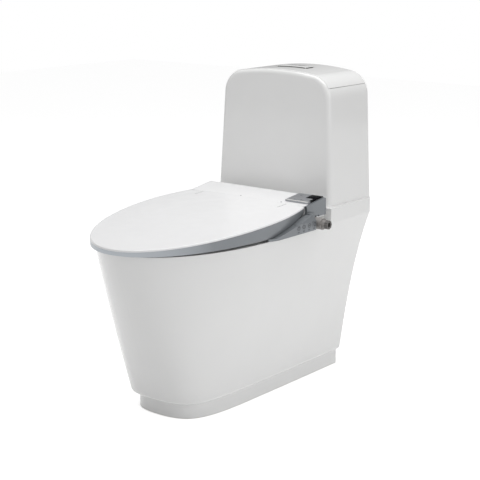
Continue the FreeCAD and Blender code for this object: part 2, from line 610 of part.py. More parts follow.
def cistern_form(name, foot, inset, front_inset):
    """The cistern's form, drawn in by inset: a tapering front outline, crowned, carried backwards."""
    body = doc.addObject("PartDesign::Body", name)
    outline = sketch_on(body, name + "Outline", "XZ_Plane", f"{inset} - back_reach")
    half = sheet.tank_half
    shoulder = sheet.tank_shoulder_half
    base = sheet.deck_height
    top = sheet.tank_top
    drop = shoulder ** 2 / (2 * sheet.tank_crown)
    points = [
        Vector(-half, base, 0), Vector(half, base, 0),
        Vector(shoulder, top - drop, 0), Vector(-shoulder, top - drop, 0),
    ]
    outline.addGeometry(Part.LineSegment(points[0], points[1]), False)
    outline.addGeometry(Part.LineSegment(points[1], points[2]), False)
    outline.addGeometry(Part.Arc(points[2], Vector(0, top, 0), points[3]), False)
    outline.addGeometry(Part.LineSegment(points[3], points[0]), False)
    outline.addConstraint(Sketcher.Constraint("Coincident", 0, 2, 1, 1))
    outline.addConstraint(Sketcher.Constraint("Coincident", 1, 2, 2, 1))
    outline.addConstraint(Sketcher.Constraint("Coincident", 2, 2, 3, 1))
    outline.addConstraint(Sketcher.Constraint("Coincident", 3, 2, 0, 1))
    outline.addConstraint(Sketcher.Constraint("Symmetric", 0, 1, 0, 2, -2))
    outline.addConstraint(Sketcher.Constraint("Symmetric", 2, 2, 2, 1, -2))
    shoulder_drop = "tank_shoulder_half * tank_shoulder_half / (2 * tank_crown)"
    tie(outline, "foot", Sketcher.Constraint("DistanceY", -1, 1, 0, 2, base), foot)
    tie(outline, "half", Sketcher.Constraint("DistanceX", -1, 1, 0, 2, half), f"tank_half - {inset}")
    tie(
        outline, "shoulder", Sketcher.Constraint("DistanceX", -1, 1, 1, 2, shoulder),
        f"tank_shoulder_half - {inset}",
    )
    tie(
        outline, "rise", Sketcher.Constraint("DistanceY", -1, 1, 1, 2, top - drop),
        f"tank_top - {shoulder_drop} - {inset}",
    )
    tie(outline, "crown", Sketcher.Constraint("Radius", 2, sheet.tank_crown), "tank_crown")
    depth = f"back_reach - tank_front - {inset} - {front_inset}"
    block_pad = pad(body, name + "Depth", outline, depth)
    doc.recompute()
    low = block_pad.Shape.BoundBox.ZMin

    def corner(edge):
        box = edge.BoundBox
        return box.XLength < 0.1 and box.ZLength < 0.1 and box.ZMin > low + 100

    rounded = fillet(body, name + "Corners", block_pad, f"tank_corner - {inset}", corner)
    doc.recompute()
    lean = sketch_on(body, name + "Lean", "YZ_Plane")
    front = sheet.tank_front
    above = top + 20
    points = [Vector(front, base, 0), Vector(front + 10, above, 0), Vector(front - 5, above, 0)]
    for number in range(3):
        lean.addGeometry(Part.LineSegment(points[number], points[(number + 1) % 3]), False)
    for number in range(3):
        lean.addConstraint(Sketcher.Constraint("Coincident", number, 2, (number + 1) % 3, 1))
    lean.addConstraint(Sketcher.Constraint("Horizontal", 1))
    tie(lean, "start", Sketcher.Constraint("DistanceX", -1, 1, 0, 1, front), f"tank_front + {front_inset}")
    tie(lean, "low", Sketcher.Constraint("DistanceY", -1, 1, 0, 1, base), "deck_height")
    tie(
        lean, "back", Sketcher.Constraint("DistanceX", -1, 1, 0, 2, front + 10),
        f"tank_front + tank_lean + {front_inset}",
    )
    tie(lean, "high", Sketcher.Constraint("DistanceY", -1, 1, 0, 2, above), "tank_top + 20")
    tie(lean, "spare", Sketcher.Constraint("DistanceX", -1, 1, 2, 1, front - 5), "tank_front - 5")
    slope = body.newObject("PartDesign::Pocket", name + "Slope")
    slope.Profile = lean
    slope.Midplane = True
    slope.setExpression("Length", cell("4 * tank_half"))
    doc.recompute()
    return body, slope, rounded


def make_cistern():
    """The cistern and its lid are one form parted at the seam, hollowed by a smaller form."""
    outside, slope, rounded = cistern_form("TankForm", "deck_height", "0", "0")
    if slope.Shape.Volume >= rounded.Shape.Volume:
        raise RuntimeError("the cistern's front doesn't lean")
    foot = sheet.deck_height
    lean_end = sheet.tank_front + sheet.tank_lean + 0.5

    def front_edge(edge):
        box = edge.BoundBox
        return box.YMax < lean_end and box.ZMax > foot + 1

    front = fillet(outside, "TankFrontRound", slope, "tank_round", front_edge)
    doc.recompute()

    def back_edge(edge):
        box = edge.BoundBox
        return near(box.YMin, sheet.back_reach) and box.ZMax > foot + 1

    fillet(outside, "TankBackRound", front, "tank_back_round", back_edge)
    inside, _, _ = cistern_form(
        "TankHollow", "deck_height + tank_floor", "tank_wall", "tank_wall + 2"
    )
    doc.recompute()
    lid_space = block(
        "LidSpace", ("0-300", "300"), ("lid_front - seam", "back_reach + 50"),
        ("lid_seam", "tank_top + 50"),
    )
    floor_holes = [
        rod("ValveHole", "Z", "inlet_bore + 4.5", ("0", "valve_place"),
            ("deck_height - 5", "deck_height + 30")),
        rod("FillerHole", "Z", "11.5", ("0-filler_place", "valve_place"),
            ("deck_height - 5", "deck_height + 30")),
        rod("BoltHoleLeft", "Z", "4.5", ("0-tank_bolt_place", "valve_place"),
            ("deck_height - 5", "deck_height + 30")),
        rod("BoltHoleRight", "Z", "4.5", ("tank_bolt_place", "valve_place"),
            ("deck_height - 5", "deck_height + 30")),
    ]
    keep(cut("TankBody", outside, inside, lid_space, *floor_holes), "tank_body")
    lid_block = block(
        "LidBlock", ("0-300", "300"), ("lid_front", "back_reach + 50"),
        ("lid_seam + seam", "tank_top + 50"),
    )
    opening = block(
        "ButtonOpening", ("0 - button_half - button_gap - 2.5", "button_half + button_gap + 2.5"),
        ("button_front - button_gap - 2.5", "button_back + button_gap + 2.5"),
        ("lid_seam", "tank_top + 50"),
    )
    lid = cut("TankLidShell", overlap("LidPart", outside, lid_block), inside, opening)
    return lid


def make_tank_lid():
    lid = make_cistern()
    bumpers = []
    for side, name in ((-1, "Left"), (1, "Right")):
        bumpers.append(rod(
            "LidPad" + name, "Z", "4.4",
            (f"{side} * (tank_shoulder_half - 9.5)", "(tank_front + back_reach) / 2 + 20"),
            ("lid_seam", "lid_seam + seam"),
        ))
    keep(lid, "tank_lid")
    keep(group("LidPads", *bumpers), "tank_lid_pads")


def make_flush_buttons():
    """Two sprung buttons side by side in a bezel that hangs in the cistern lid's opening."""
    face = "button_top"
    outer = "(button_gap + 2.3)"
    bezel = cut(
        "ButtonBezel",
        block("BezelOutside", (f"0 - button_half - {outer}", f"button_half + {outer}"),
              (f"button_front - {outer}", f"button_back + {outer}"),
              (f"{face} - 7 - button_travel", f"{face} - 3.2")),
        block("BezelInside", ("0 - button_half - button_gap", "button_half + button_gap"),
              ("button_front - button_gap", "button_back + button_gap"),
              (f"{face} - 5 - button_travel", f"{face} + 5")),
        rod("BezelHoleLeft", "Z", "3.5", ("0 - button_half / 2", "(button_front + button_back) / 2"),
            (f"{face} - 20", face)),
        rod("BezelHoleRight", "Z", "3.5", ("button_half / 2", "(button_front + button_back) / 2"),
            (f"{face} - 20", face)),
    )
    keep(bezel, "button_bezel")
    for side, label in ((1, "full"), (-1, "half")):
        body = doc.addObject("PartDesign::Body", "Button" + label.title())
        outline = sketch_on(body, "ButtonOutline" + label, "XY_Plane", f"{face} - 4.5")
        ends = ("0.3", "button_half") if side > 0 else ("0 - button_half", "0-0.3")
        rectangle(outline, ends[0], ends[1], "button_front", "button_back")
        plate = pad(body, "ButtonPlate" + label, outline, "4.5")
        doc.recompute()
        top = plate.Shape.BoundBox.ZMax
        eased = fillet(
            body, "ButtonEase" + label, plate, "0.8",
            lambda e: near(e.BoundBox.ZMin, top) and near(e.BoundBox.ZMax, top),
        )
        doc.recompute()
        stem = sketch_on(body, "ButtonStem" + label, "XY_Plane", f"{face} - 4.5")
        circle(stem, f"{side} * button_half / 2", "(button_front + button_back) / 2", "3")
        pad(body, "ButtonPush" + label, stem, f"{face} - 4.5 - lid_seam + 18", reverse=True)
        keep(body, "flush_button_" + label)
        if eased.Shape.Volume <= 0:
            raise RuntimeError("a flush button is empty")


def make_flush_valve():
    """The outlet of the cistern: a threaded base, a caged tower with an overflow, and its drum."""
    centre = ("0", "valve_place")
    floor = "deck_height + tank_floor"
    base = cut(
        "ValveBase",
        join(
            "ValveBaseSolid",
            rod("ValveShank", "Z", "inlet_bore + 4", centre, ("deck_height - 13", floor)),
            rod("ValveFlange", "Z", "inlet_bore + 12", centre, (floor, f"{floor} + 4")),
            rod("ValveThroat", "Z", "inlet_bore + 2", centre, (f"{floor} + 4", f"{floor} + 9")),
            rod("OverflowFoot", "Z", "12", ("inlet_bore + 17", "valve_place"),
                (floor, f"{floor} + 14")),
            block("OverflowRun", ("0", "inlet_bore + 17"), ("valve_place - 9", "valve_place + 9"),
                  (floor, f"{floor} + 4")),
        ),
        rod("ValveBore", "Z", "inlet_bore - 1", centre, ("deck_height - 20", f"{floor} + 20")),
    )
    keep(base, "flush_valve_base")
    nut = cut(
        "ValveNut",
        rod("ValveNutOutside", "Z", "inlet_bore + 15", centre, ("deck_height - 12", "deck_height - 3")),
        rod("ValveNutInside", "Z", "inlet_bore + 4.1", centre, ("deck_height - 20", "deck_height")),
    )
    keep(nut, "flush_valve_locknut")
    gasket = cut(
        "TankGasket",
        rod("GasketOutside", "Z", "inlet_bore + 17", centre, ("deck_height - 2.8", "deck_height - 0.2")),
        rod("GasketInside", "Z", "inlet_bore + 4.5", centre, ("deck_height - 5", "deck_height + 5")),
    )
    keep(gasket, "tank_gasket")
    cage_low = f"{floor} + 4"
    posts = []
    for number in range(4):
        turn = math.radians(45 + 90 * number)
        posts.append(rod(
            f"CagePost{number}", "Z", "2.5",
            (f"(inlet_bore + 8.5) * {math.cos(turn):.6f}",
             f"valve_place + (inlet_bore + 8.5) * {math.sin(turn):.6f}"),
            (cage_low, "lid_seam - tower_drop - 4"),
        ))
    cap = cut(
        "CageCap",
        rod("CageCapDisc", "Z", "inlet_bore + 12", centre,
            ("lid_seam - tower_drop - 10", "lid_seam - tower_drop")),
        rod("CageCapHole", "Z", "5", centre,
            ("lid_seam - tower_drop - 22", "lid_seam - tower_drop + 8")),
    )
    overflow = cut(
        "OverflowTube",
        join(
            "OverflowSolid",
            rod("OverflowOutside", "Z", "11", ("inlet_bore + 17", "valve_place"),
                (f"{floor} + 14", "lid_seam - valve_drop")),
            block("OverflowLink", ("inlet_bore + 5", "inlet_bore + 17"),
                  ("valve_place - 4", "valve_place + 4"),
                  ("lid_seam - tower_drop - 10", "lid_seam - tower_drop")),
        ),
        rod("OverflowInside", "Z", "9", ("inlet_bore + 17", "valve_place"),
            (f"{floor} + 10", "lid_seam - valve_drop + 10")),
    )
    keep(join("FlushTower", cap, overflow, *posts), "flush_tower")
    drum = join(
        "DrumSolid",
        rod("DrumBarrel", "Z", "inlet_bore + 2", centre, (f"{floor} + 12", f"{floor} + 60")),
        rod("DrumRod", "Z", "4", centre, (f"{floor} + 60", "lid_seam - valve_drop + 5")),
    )
    keep(drum, "flush_drum")
    seal = rod("DrumSeal", "Z", "inlet_bore + 2", centre, (f"{floor} + 9.3", f"{floor} + 12"))
    keep(seal, "flush_drum_seal")


def make_fill_valve():
    """The fill valve: a threaded shank through the cistern's floor, a riser, a cap and a float."""
    centre = ("0-filler_place", "valve_place")
    floor = "deck_height + tank_floor"
    valve = join(
        "FillValve",
        rod("FillShank", "Z", "10.4", centre, ("deck_height - 44", "deck_height - 14")),
        rod("FillNeck", "Z", "11", centre, ("deck_height - 14", floor)),
        rod("FillFlange", "Z", "18", centre, (floor, f"{floor} + 4")),
        rod("FillRiser", "Z", "12", centre, (f"{floor} + 4", "lid_seam - valve_drop")),
        rod("FillHead", "Z", "19", centre, ("lid_seam - valve_drop", "lid_seam - valve_drop + 24")),
    )
    keep(valve, "fill_valve")
    nut = cut(
        "FillNut",
        rod("FillNutOutside", "Z", "17", centre, ("deck_height - 9", "deck_height")),
        rod("FillNutInside", "Z", "11.1", centre, ("deck_height - 20", "deck_height + 5")),
    )
    keep(nut, "fill_valve_locknut")
    top = "lid_seam - valve_drop - 0.4"
    cup = cut(
        "FillFloat",
        rod("FloatOutside", "Z", "28", centre, (f"{top} - float_height", top)),
        rod("FloatBore", "Z", "12.8", centre, (f"{top} - float_height - 15", f"{top} + 10")),
        cut(
            "FloatHollow",
            rod("FloatHollowOutside", "Z", "26", centre, (f"{top} - float_height - 15", f"{top} - 3.6")),
            rod("FloatHollowCore", "Z", "15", centre, (f"{top} - float_height - 25", top)),
        ),
    )
    keep(cup, "fill_float")


def make_tank_bolts():
    """Bolts, cone washers and nuts that clamp the cistern to the pan."""
    floor = "deck_height + tank_floor"
    under = "deck_height - 17"
    bolts, washers, nuts = [], [], []
    for side, name in (("0-1", "Left"), ("1", "Right")):
        centre = (f"({side}) * tank_bolt_place", "valve_place")
        bolts.append(join(
            "TankBolt" + name,
            rod("TankBoltShank" + name, "Z", "3.9", centre, (f"{under} - 24", f"{floor} + 3")),
            rod("TankBoltHead" + name, "Z", "9", centre, (f"{floor} + 3", f"{floor} + 8")),
        ))
        washers.append(cut(
            "TankWasher" + name,
            rod("TankWasherOutside" + name, "Z", "11", centre, (floor, f"{floor} + 3")),
            rod("TankWasherInside" + name, "Z", "4", centre, (f"{floor} - 5", f"{floor} + 9")),
        ))
        nuts.append(cut(
            "TankNut" + name,
            join(
                "TankNutSolid" + name,
                rod("TankNutHub" + name, "Z", "8", centre, (f"{under} - 11", f"{under}")),
                block("TankNutWings" + name,
                      (f"({side}) * tank_bolt_place - 15", f"({side}) * tank_bolt_place + 15"),
                      ("valve_place - 2", "valve_place + 2"), (f"{under} - 16", f"{under} - 4")),
            ),
            rod("TankNutBore" + name, "Z", "4", centre, (f"{under} - 30", f"{under} + 5")),
        ))
    keep(group("TankBolts", *bolts), "tank_bolts")
    keep(group("TankWashers", *washers), "tank_washers")
    keep(group("TankNuts", *nuts), "tank_wing_nuts")


# ---- seat and lid ----------------------------------------------------------------------------

def dome_ball(drop):
    """The ball whose surface is the lid's top, let down by drop."""
    slope = math.radians(sheet.cover_slope)
    middle_back = (sheet.cover_rear - sheet.cover_reach) / 2
    radius = sheet.dome
    centre = Vector(
        0, middle_back + radius * math.sin(slope),
        sheet.cover_middle_height - radius * math.cos(slope),
    )
    return Part.makeSphere(radius - drop, centre)


def cover_outline(inset):
    return shield(
        0, sheet.cover_half - inset, sheet.cover_reach - inset, sheet.cover_bow - inset / 2,
        sheet.cover_fullness, sheet.cover_rear_half - inset, sheet.cover_rear, 4,
    )


def seat_outline(inset):
    return shield(
        0, sheet.seat_half - inset, sheet.seat_reach - inset, sheet.cover_bow - 12 - inset / 2,
        sheet.cover_fullness, sheet.seat_rear_half - inset, sheet.seat_rear - inset, 12,
    )


def seat_hole(inset):
    return egg(0, sheet.hole_half + inset, sheet.hole_front + inset, sheet.hole_back - inset)


def under_dome(wire, low, drop):
    """The upright solid over wire, from low up to the lid's top let down by drop."""
    return prism(wire, low, sheet.housing_rear_top + 20).common(dome_ball(drop))


def hinge_rod(radius, low, high):
    """A rod on the hinge line between two X values."""
    base = Vector(low, sheet.hinge_back, sheet.hinge_height)
    return Part.makeCylinder(radius, high - low, base, Vector(1, 0, 0))


def make_seat():
    """The heated seat: an upper shell, a floor plate, a foil under the top and rubber buffers."""
    foot = sheet.seat_foot
    skin = sheet.seat_sheet
    drop = sheet.seat_under_lid
    top = under_dome(seat_outline(0), foot, drop).cut(prism(seat_hole(0), foot - 1, ABOVE))
    room = under_dome(seat_outline(skin), foot - 1, drop + skin)
    room = room.cut(prism(seat_hole(skin), foot - 2, ABOVE))
    tunnel = slab((-24, 24), (-130, 30), (foot - 5, foot + 22.5))
    tunnel_wall = slab((-24 - skin, 24 + skin), (-130, 30), (foot - 5, foot + 22.5 + skin))
    upper = top.cut(room.cut(tunnel_wall)).cut(tunnel)
    ears = []
    for side in (1, -1):
        near_end, far_end = sorted((side * 106, side * 118))
        ear = hinge_rod(7.2, near_end, far_end)
        web = side_profile(
            [(sheet.seat_rear - 6, foot + 20), (sheet.seat_rear - 6, sheet.hinge_height + 4),
             (sheet.hinge_back, sheet.hinge_height + 7.2), (sheet.hinge_back + 2, sheet.hinge_height - 6.8)],
            near_end, far_end,
        )
        ears.append(ear.fuse(web).cut(hinge_rod(
            sheet.pin_radius + sheet.hinge_slack, near_end - 1, far_end + 1
        )))
    upper = upper.fuse(ears)
    keep(feature("SeatUpper", upper), "seat_upper_shell")
    plate = prism(seat_outline(skin + 0.2), foot + 0.2, foot + 2.4)
    plate = plate.cut(prism(seat_hole(skin + 0.2), foot - 2, foot + 9))
    plate = plate.cut(slab((-24.2 - skin, 24.2 + skin), (-131, 30), (foot - 5, foot + 20)))
    keep(feature("SeatLower", plate), "seat_lower_shell")
    foil = under_dome(seat_outline(skin + 12), foot + 3, drop + skin + 0.15)
    foil = foil.cut(dome_ball(drop + skin + 0.6))
    foil = foil.cut(prism(seat_hole(skin + 9), foot - 2, ABOVE))
    foil = foil.cut(slab((-30, 30), (-140, 40), (foot, ABOVE)))
    keep(feature("SeatFoil", foil), "seat_heating_foil")
    buffers = []
    for side in ("0-1", "1"):
        for place, name in (("0-325", "Front"), ("0-100", "Back")):
            across = "92" if name == "Front" else "146"
            tag = name + ("Left" if side != "1" else "Right")
            buffers.append(rod(
                "SeatBuffer" + tag, "Z", "7", (f"({side}) * {across}", place),
                ("rim_height + 0.2", "seat_foot + 0.2"),
            ))
    keep(group("SeatBuffers", *buffers), "seat_buffers")


def make_cover():
    """The lid over the seat: a white sheet with a turned-down lip and a grey band under it."""
    lip = sheet.cover_lip
    skin = sheet.cover_sheet
    foot = sheet.band_foot
    rear = sheet.cover_rear
    ball = dome_ball(0)
    centre = ball.BoundBox.Center

    def upper_rim(edge):
        middle = edge.valueAt((edge.FirstParameter + edge.LastParameter) / 2)
        on_top = near((middle - centre).Length, sheet.dome)
        return on_top and edge.BoundBox.YMin < rear - 1

    outside = round_edges(under_dome(cover_outline(0), foot, 0), sheet.cover_round, upper_rim)
    outside = outside.cut(dome_ball(lip))
    inside = under_dome(cover_outline(skin), foot, skin)
    white = outside.cut(inside)
    slits = []
    for side in (-1, 1):
        middle = side * sheet.slit_place
        slits.append(slab(
            (middle - sheet.slit_width / 2, middle + sheet.slit_width / 2),
            (sheet.slit_rear - sheet.slit_length, sheet.slit_rear), (foot, ABOVE),
        ))
    white = white.cut(slits)
    ears = []
    for side in (1, -1):
        near_end, far_end = sorted((side * 119, side * 131))
        ear = hinge_rod(7.4, near_end, far_end)
        web = side_profile(
            [(sheet.hinge_back - 7.2, sheet.hinge_height - 1), (sheet.hinge_back + 7.2, sheet.hinge_height),
             (sheet.hinge_back + 6, sheet.hinge_height + 9.4),
             (sheet.hinge_back - 14, sheet.hinge_height + 8.6),
             (sheet.hinge_back - 14, sheet.hinge_height + 5.5)],
            near_end, far_end,
        )
        ears.append(ear.fuse(web).cut(hinge_rod(
            sheet.pin_radius + sheet.hinge_slack, near_end - 1, far_end + 1
        )))
    white = white.fuse(ears)
    keep(feature("Cover", white), "lid_shell")
    ring = under_dome(cover_outline(0.3), foot - 20, lip)
    ring = ring.cut(prism(cover_outline(0.3 + sheet.band_sheet), foot - 30, ABOVE))
    turning = hinge_rod(sheet.recess - 0.7, -300, 300)
    ring = ring.cut(slab((-300, 300), (sheet.hinge_back, 200), (foot - 90, ABOVE)).cut(turning))
    far = sheet.cover_reach
    rise = math.tan(math.radians(sheet.band_rise))
    crease = math.tan(math.radians(sheet.crease_angle))
    start = -sheet.crease_start
    height = foot + (far + start) * rise
    below = side_profile(
        [(-far - 20, foot - 90), (-far - 20, foot - 20 * rise), (start, height),
         (rear + 20, height + (rear + 20 - start) * crease), (rear + 20, foot - 90)],
        -300, 300,
    )
    keep(feature("Band", ring.cut(below)), "lid_band")
    pads = []
    for side in (-1, 1):
        pad_rod = Part.makeCylinder(
            6, 60, Vector(side * 120, 121 - sheet.cover_reach, foot - 0.5), Vector(0, 0, 1)
        )
        pads.append(pad_rod.common(dome_ball(skin)).cut(dome_ball(sheet.seat_under_lid - 0.3)))
    keep(feature("CoverPads", Part.makeCompound(pads)), "lid_buffers")


# ---- bidet housing ---------------------------------------------------------------------------

def make_bracket():
    """The plate that holds the seat unit, bolted through the rim's deck."""
    body = doc.addObject("PartDesign::Body", "Bracket")
    outline = sketch_on(body, "BracketOutline", "XY_Plane", "rim_height + 0.2")
    rectangle(
        outline, "0 - bracket_spread - 26", "bracket_spread + 26",
        "bracket_back - 16", "bracket_back + 20",
    )
    plate = pad(body, "BracketPlate", outline, "bracket_sheet")
    doc.recompute()
    whole = plate.Shape.Volume
    for side in ("0-1", "1"):
        hole = sketch_on(body, "BracketHole", "XY_Plane", "rim_height - 1")
        circle(hole, f"({side}) * bracket_spread", "bracket_back", "4.5")
        pocket = body.newObject("PartDesign::Pocket", "BracketBore")
        pocket.Profile = hole
        pocket.Reversed = True
        pocket.setExpression("Length", cell("bracket_sheet + 5"))
    doc.recompute()
    if body.Shape.Volume > whole - 50:
        raise RuntimeError("the bracket has no holes")
    keep(body, "seat_bracket")
    bolts, nuts = [], []
    head = "rim_height + 0.2 + bracket_sheet"
    under = "rim_height - rim_thickness"
    for side, name in (("0-1", "Left"), ("1", "Right")):
        centre = (f"({side}) * bracket_spread", "bracket_back")
        bolts.append(join(
            "BracketBolt" + name,
            rod("BracketShank" + name, "Z", "4", centre, (f"{under} - 24", head)),
            rod("BracketHead" + name, "Z", "9", centre, (head, f"{head} + 3.5")),
        ))
        nuts.append(cut(
            "BracketNut" + name,
            rod("BracketNutOutside" + name, "Z", "12", centre, (f"{under} - 10", f"{under} - 0.3")),
            rod("BracketNutInside" + name, "Z", "4.1", centre, (f"{under} - 30", f"{under} + 5")),
        ))
    keep(group("BracketBolts", *bolts), "bracket_bolts")
    keep(group("BracketNuts", *nuts), "bracket_nuts")


def make_tray():
    """The bidet's tray, the low frame on it with the filter's socket, and four hinge posts."""
    low = sheet.tray_floor
    skin = sheet.tray_sheet
    rear = sheet.housing_rear - sheet.housing_sheet - 0.3
    half = sheet.tray_half
    floor = slab((-half, half), (sheet.tray_front, rear), (low, low + skin))
    inside_front = sheet.wand_origin - 15
    walls = slab((-half, half), (inside_front, rear), (low, low + 14))
    walls = walls.cut(slab((3 - half, half - 3), (inside_front - 1, rear - 3), (low - 1, low + 20)))
    posts = []
    for side in (1, -1):
        for near_side, far_side in ((97, 105.7), (131.3, 140)):
            left, right = sorted((side * near_side, side * far_side))
            post = side_profile(
                [(sheet.hinge_back - 7, low + 1), (sheet.hinge_back + 1.5, low + 1),
                 (sheet.hinge_back + 1.5, sheet.hinge_height), (sheet.hinge_back - 7, sheet.hinge_height)],
                left, right,
            )
            posts.append(post.fuse(hinge_rod(7, left, right)))
    knob = Vector(half - 4, sheet.knob_back, sheet.knob_height)
    reach = sheet.knob_inside - half + 4
    socket = Part.makeCylinder(10.5, reach - 1, knob, Vector(1, 0, 0))
    frame = walls.fuse(socket).cut(floor)
    stand = posts[0].fuse(posts[1:]).cut(floor)
    holes = [
        hinge_rod(sheet.pin_radius, -150, 150),
        slab((-22, 22), (0, 44), (low - 1, low + 30)),
        Part.makeCylinder(6.2, reach + 10, knob - Vector(5, 0, 0), Vector(1, 0, 0)),
        Part.makeCylinder(
            10.5, 20, Vector(-half - 5, sheet.housing_rear - 25, sheet.knob_height), Vector(1, 0, 0)
        ),
        Part.makeCylinder(5.1, 20, Vector(-half - 5, sheet.wand_origin, sheet.knob_height), Vector(1, 0, 0)),
    ]
    for side in (-1, 1):
        place = Vector(side * sheet.bracket_spread, sheet.bracket_back, low - 5)
        holes.append(Part.makeCylinder(11, skin + 10, place))
    keep(feature("Tray", floor.cut(holes)), "bidet_tray")
    keep(feature("TrayFrame", frame.cut(holes)), "tray_frame")
    keep(feature("HingePosts", stand.cut(holes)), "hinge_posts")
    pins = [hinge_rod(sheet.pin_radius, *sorted((side * 97, side * 140))) for side in (-1, 1)]
    keep(feature("HingePins", Part.makeCompound(pins)), "hinge_pins")


def housing_face(inset, low, high):
    """The housing's side outline between two X values: hollow front, sloping top, round back."""
    hinge = Vector(0, sheet.hinge_back, sheet.hinge_height)
    radius = sheet.recess + inset
    floor = sheet.tray_floor + sheet.tray_sheet
    front_top = sheet.housing_front_top - inset
    rear_top = sheet.housing_rear_top - inset
    rear = sheet.housing_rear - inset
    front = sheet.hinge_back + 20 + inset
    back_round = 7 - inset

    def on_recess(height):
        return hinge.y + math.sqrt(radius ** 2 - (height - hinge.z) ** 2)

    lower = hinge.z - math.sqrt(radius ** 2 - (front - hinge.y) ** 2)
    slope = (rear_top - front_top) / (rear - sheet.cover_rear)
    points = [
        Vector(low, front, floor), Vector(low, front, lower),
        Vector(low, hinge.y + radius, hinge.z), Vector(low, on_recess(front_top), front_top),
        Vector(low, rear - back_round, rear_top - slope * back_round),
        Vector(low, rear - back_round * 0.29, rear_top - back_round * 0.29 - slope * 3),
        Vector(low, rear, rear_top - back_round - slope * 3), Vector(low, rear, floor),
    ]
    wire = Part.Wire([
        Part.makeLine(points[0], points[1]),
        Part.Arc(points[1], points[2], points[3]).toShape(),
        Part.makeLine(points[3], points[4]),
        Part.Arc(points[4], points[5], points[6]).toShape(),
        Part.makeLine(points[6], points[7]),
        Part.makeLine(points[7], points[0]),
    ])
    return Part.Face(wire).extrude(Vector(high - low, 0, 0))


def make_housing():
    """The white housing shell, with the wand's port in its hollow front."""
    half = sheet.housing_half
    skin = sheet.housing_sheet
    right = sheet.plate_outside
    shell = housing_face(0, -half, right)

    def left_end(edge):
        box = edge.BoundBox
        return near(box.XMax, -half) and box.ZMin > sheet.tray_floor + 6 and box.YMin > sheet.cover_rear + 4

    shell = round_edges(shell, 5, left_end)
    room = housing_face(skin, skin - half, right - skin)
    room = room.fuse(slab(
        (skin - half, right - skin), (sheet.hinge_back + 20 + skin, sheet.housing_rear - skin),
        (sheet.tray_floor, sheet.tray_floor + 12),
    ))
    shell = shell.cut(room)
    port = wand_rod(sheet.sleeve_radius + 1.2, -20, 60)
    shell = shell.cut(port)
    shell = shell.cut(slab((-13, 13), (0, 60), (sheet.tray_floor - 11, sheet.knob_height + 2)))
    shell = shell.cut(dryer_port(0.4))
    across = Vector(1, 0, 0)
    shell = shell.cut([
        slab((right - skin - 0.5, right + 1), (sheet.hinge_back, sheet.housing_rear - skin),
             (sheet.tray_floor, sheet.tray_floor + 14.4)),
        Part.makeCylinder(11, 10, Vector(right - 6, sheet.knob_back, sheet.knob_height), across),
        Part.makeCylinder(
            12.3, 10, Vector(-half - 5, sheet.housing_rear - 25, sheet.knob_height), across
        ),
        Part.makeCylinder(8.3, 10, Vector(-half - 5, sheet.wand_origin, sheet.knob_height), across),
    ])
    keep(feature("Housing", shell), "housing_cover")


def dryer_port(slack):
    """The dryer's mouth through the housing's front, beside the wand."""
    across = sheet.dryer_across
    half = sheet.duct_half + slack
    floor = sheet.tray_floor + sheet.tray_sheet
    return slab((across - half, across + half), (sheet.hinge_back + 14, sheet.housing_rear - 50),
                (floor + sheet.duct_low - slack, floor + sheet.duct_high + slack))


def wand_rod(radius, start, end):
    """A rod on the wand's axis; start and end are measured forward from wand_origin."""
    tilt = math.radians(sheet.wand_tilt)
    along = Vector(0, -math.cos(tilt), -math.sin(tilt))
    origin = Vector(0, sheet.wand_origin, sheet.wand_height)
    return Part.makeCylinder(radius, end - start, origin + along * start, along)


def make_wand():
    """A two-stage spray wand that slides down out of a guide fixed in the housing."""
    back = -44
    front = back + sheet.sleeve_length
    slack = sheet.wand_slack
    outer = sheet.sleeve_radius
    bore = sheet.wand_radius + slack
    guide = wand_rod(outer + slack + 2, back + 4, 15).cut(wand_rod(outer + slack, back - 10, 30))
    foot = slab((-8, 8), (sheet.wand_origin - 12, sheet.wand_origin + 20),
                (sheet.tray_floor + sheet.tray_sheet, sheet.wand_height + 2))
    guide = guide.fuse(foot).cut(wand_rod(outer + slack, back - 10, 60))
    keep(feature("WandGuide", guide), "wand_guide")
    sleeve = wand_rod(outer, back, front).cut(wand_rod(bore, back - 1, front + 1))
    keep(feature("WandSleeve", sleeve), "wand_sleeve")
    tip = front + 3
    wand = wand_rod(sheet.wand_radius, back, tip - 3)
    cap = wand_rod(sheet.wand_radius, tip - 4, tip)
    wand = wand.fuse(cap).removeSplitter()
    tilt = math.radians(sheet.wand_tilt)
    along = Vector(0, -math.cos(tilt), -math.sin(tilt))
    up = Vector(0, -math.sin(tilt), math.cos(tilt))
    origin = Vector(0, sheet.wand_origin, sheet.wand_height)
    jets = [
        Part.makeCylinder(0.7, 8, origin + along * (tip - 8 - step), up) for step in (0, 3)
    ]
    wand = wand.cut(jets)
    keep(feature("Wand", wand), "spray_wand")


